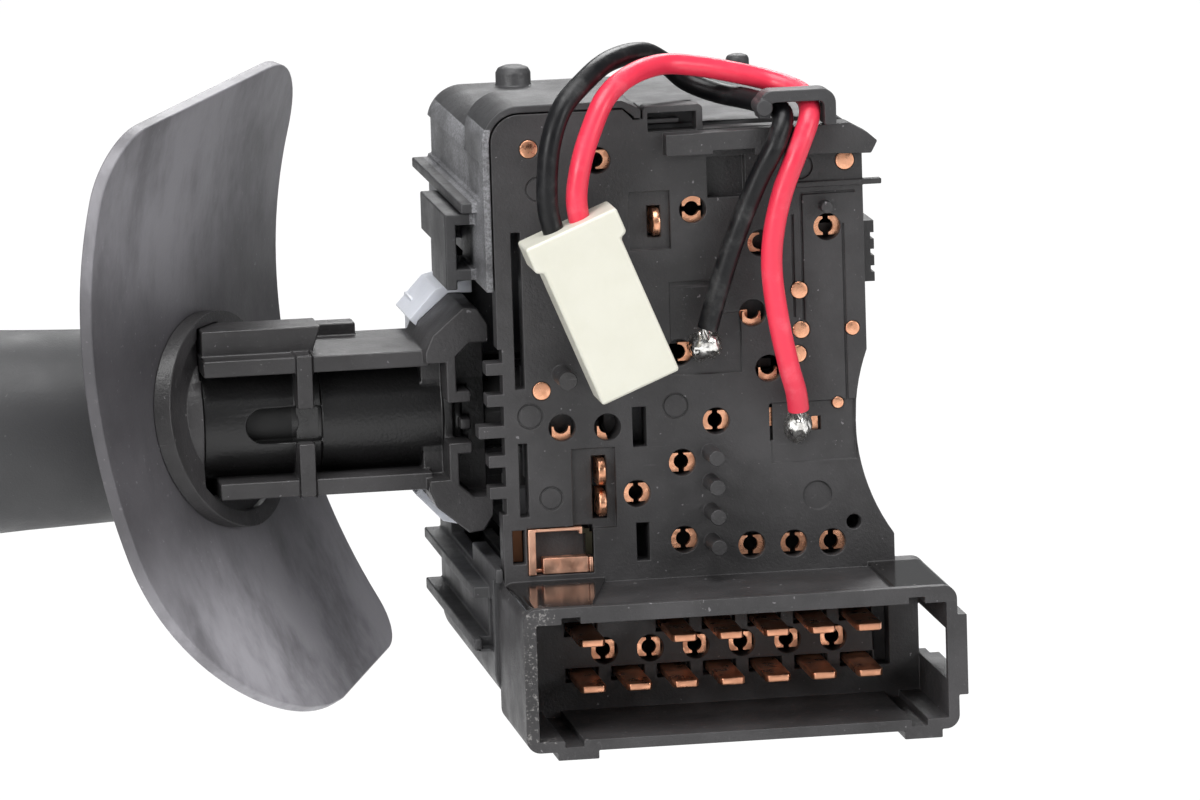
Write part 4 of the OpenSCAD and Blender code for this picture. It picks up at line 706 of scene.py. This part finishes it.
# Lever claw, neck and nylon shoe
# Black nylon claw that grips the swivel block, in one piece with the round neck; the
# milky nylon wings behind it slide in the housing.
lever_nylon = moulded("lever_nylon", (0.0235, 0.0222, 0.023), (0.12, 0.115, 0.12), 0.44, 0.0004, 0.00005,
                      0.012, 0.3, 0.3)
tree = lever_nylon.node_tree
# The round barrel of the neck, told by its distance from the lever's axis, is darker and smoother.
place = tree.nodes.new("ShaderNodeTexCoord")
across = tree.nodes.new("ShaderNodeMapping")
across.inputs["Location"].default_value = (0, 0.025, 0)
across.inputs["Scale"].default_value = (0, 1, 1)
away = tree.nodes.new("ShaderNodeVectorMath")
away.operation = "LENGTH"
tree.links.new(place.outputs["Object"], across.inputs["Vector"])
tree.links.new(across.outputs[0], away.inputs[0])
barrel = span(tree, away.outputs["Value"], 0.00665, 0.00675, 1, 0)
reskinned(lever_nylon, barrel, (0.007, 0.0067, 0.007), 0.36)
tube_nylon = moulded("tube_nylon", (0.0115, 0.011, 0.0113), (0.1, 0.1, 0.1), 0.3, 0.0004, 0.00002, 0.004,
                     0.2, 0.8)
# The core is painted near black where it lies under the left end of the neck's slot, a painted shade deep in
# the slot.
reskinned(tube_nylon, within(tube_nylon.node_tree, x=(-0.046, -0.0405)), (0.0015, 0.0015, 0.0015), 0.6)
milky = moulded("milky_nylon", (0.674, 0.694, 0.755), (0.8, 0.82, 0.88), 0.4, 0.0006, 0.00001, 0.004, 0.3,
                0.4, 0.3)
dressed("claw_and_neck", ["lever_root"], "lever", 0.00022, lever_nylon)
dressed("wing_shoe", ["slide_shoe"], "lever", 0.0001, milky)

# Slot shield and its collar
# Thin dark rubbery sheet that covers the slot in the column cowl, pushed on the neck
# with a round collar; the faces are cloudy from handling, and their upper and lower ends are painted paler in
# streaks as a painted sheen.
shield_skin = moulded("shield_rubber", (0.036, 0.034, 0.0375), (0.2, 0.19, 0.205), 0.46, 0.0005, 0.00003,
                      0.02, 0.16, 0.5)
tree = shield_skin.node_tree
# Painted sheen and painted light from below: the upper end, and more strongly the lower end, are painted
# paler in streaks.
for low, high, start, stop, tone in ((0.008, 0.025, 0.05, 1, (0.26, 0.253, 0.272)),
                                     (-0.025, -0.006, 1, 0.05, (0.42, 0.408, 0.44))):
    streaks = span(tree, noise(tree, 0.011, 5, 0.65, (1, 1, 0.45), (0, 0, low)), 0.32, 0.62, 0.3, 0.85)
    handling_and_sheen = product(tree, span(tree, places(tree)["Z"], low, high, start, stop), streaks)
    reskinned(shield_skin, handling_and_sheen, tone, 0.48)
shield_thickness, shield_edge, opening = 0.0014, 0.00035, 0.010
upper_bend, lower_bend, bend_height = 0.070, 0.090, 0.014
sheet_middle = Vector((-0.0509, -0.025, 0))
slant = math.radians(31)


def on_sheet(across, height):
    """Point of the bent sheet's middle surface."""
    bend = upper_bend if height > bend_height else lower_bend
    sag = bend - math.sqrt(bend ** 2 - (height - bend_height) ** 2)
    run = (across + sag * math.sin(slant)) / math.cos(slant)
    return sheet_middle + Vector((sag * math.cos(slant) + run * math.sin(slant), across, height))


def corner(middle, radius, start, stop, steps=14):
    """Points on an arc between two angles in degrees."""
    return [Vector((middle[0] + radius * math.cos(math.radians(start + (stop - start) * i / steps)),
                    middle[1] + radius * math.sin(math.radians(start + (stop - start) * i / steps))))
            for i in range(steps + 1)]


near_edge, far_edge = -0.02184, 0.01932
rim_step, rings = 0.0016, 26
outline = (corner((far_edge - 0.005, -0.0246), 0.005, -80, 0)
           + corner((far_edge - 0.008, 0.029), 0.008, 0, 97)
           + corner((near_edge + 0.007, 0.0275), 0.007, 97, 180)
           + corner((near_edge + 0.021, -0.011), 0.021, 180, 275, 30))
rim = []
for a, b in zip(outline, outline[1:] + outline[:1]):
    parts = max(1, round((b - a).length / rim_step))
    rim += [a.lerp(b, i / parts) for i in range(parts)]
skin = bmesh.new()
web = [[skin.verts.new(on_sheet(*(p.normalized() * opening).lerp(p, (k / rings) ** 1.2))) for p in rim]
       for k in range(rings + 1)]
for k in range(rings):
    for i in range(len(rim)):
        j = (i + 1) % len(rim)
        skin.faces.new((web[k][i], web[k + 1][i], web[k + 1][j], web[k][j])).smooth = True
sheet_mesh = bpy.data.meshes.new("slot_shield_sheet")
skin.to_mesh(sheet_mesh)
skin.free()
flat_sheet = bpy.data.objects.new("slot_shield_sheet", sheet_mesh)
link(flat_sheet)
thick = flat_sheet.modifiers.new("thickness", "SOLIDIFY")
thick.thickness = shield_thickness
thick.offset = 0
soft = flat_sheet.modifiers.new("edges", "BEVEL")
soft.width = shield_edge
soft.segments = 3
soft.limit_method = "ANGLE"
soft.angle_limit = math.radians(50)
even = flat_sheet.modifiers.new("even", "WEIGHTED_NORMAL")
even.weight = 100
finished_piece("slot_shield", settled(flat_sheet), shield_skin, "lever", "shield")
dressed("collar", ["shield_collar"], "lever", 0.00015, lever_nylon)

# Handle
# Tapered grip, fixed ring between the two turning rings, end knob and push button,
# all black plastic with a fine grain.
grip_nylon = moulded("grip_plastic", (0.0325, 0.0325, 0.0345), (0.09, 0.09, 0.09), 0.5, 0.00022, 0.00003,
                     0.02, 0.15, 0.15)
for name, node, body in (("grip", "handle_sleeve", "lever"), ("middle_ring", "marker_ring", "lever"),
                         ("fog_lamp_ring", "fog_ring", "fog"), ("light_knob_cap", "light_knob", "light"),
                         ("push_button", "end_button", "button")):
    dressed(name, [node], body, 0.0003, grip_nylon)

# Inner works
# Black nylon slides with copper contacts, steel pin, plunger and springs, and the
# tubes and shafts inside the lever. They are hardly seen from outside.
steel = metal("ground_steel", (0.60, 0.61, 0.62), (0.42, 0.42, 0.43), 0.28)
inner = {housing_nylon: ["detent_track", "swivel_block", "turn_slider", "flash_plunger",
                         "light_slider", "fog_slider"],
         copper: ["turn_contacts", "flash_contact", "light_contacts", "fog_contact"],
         steel: ["lever_pin", "detent_plunger", "detent_spring", "horn_rod", "button_spring",
                 "cancel_spring"],
         tube_nylon: ["handle_core", "fog_tube", "drive_shaft"], lever_nylon: ["cancel_finger"]}
for finish, names in inner.items():
    for name in names:
        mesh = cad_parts[name].data
        mesh.materials.clear()
        mesh.materials.append(finish)
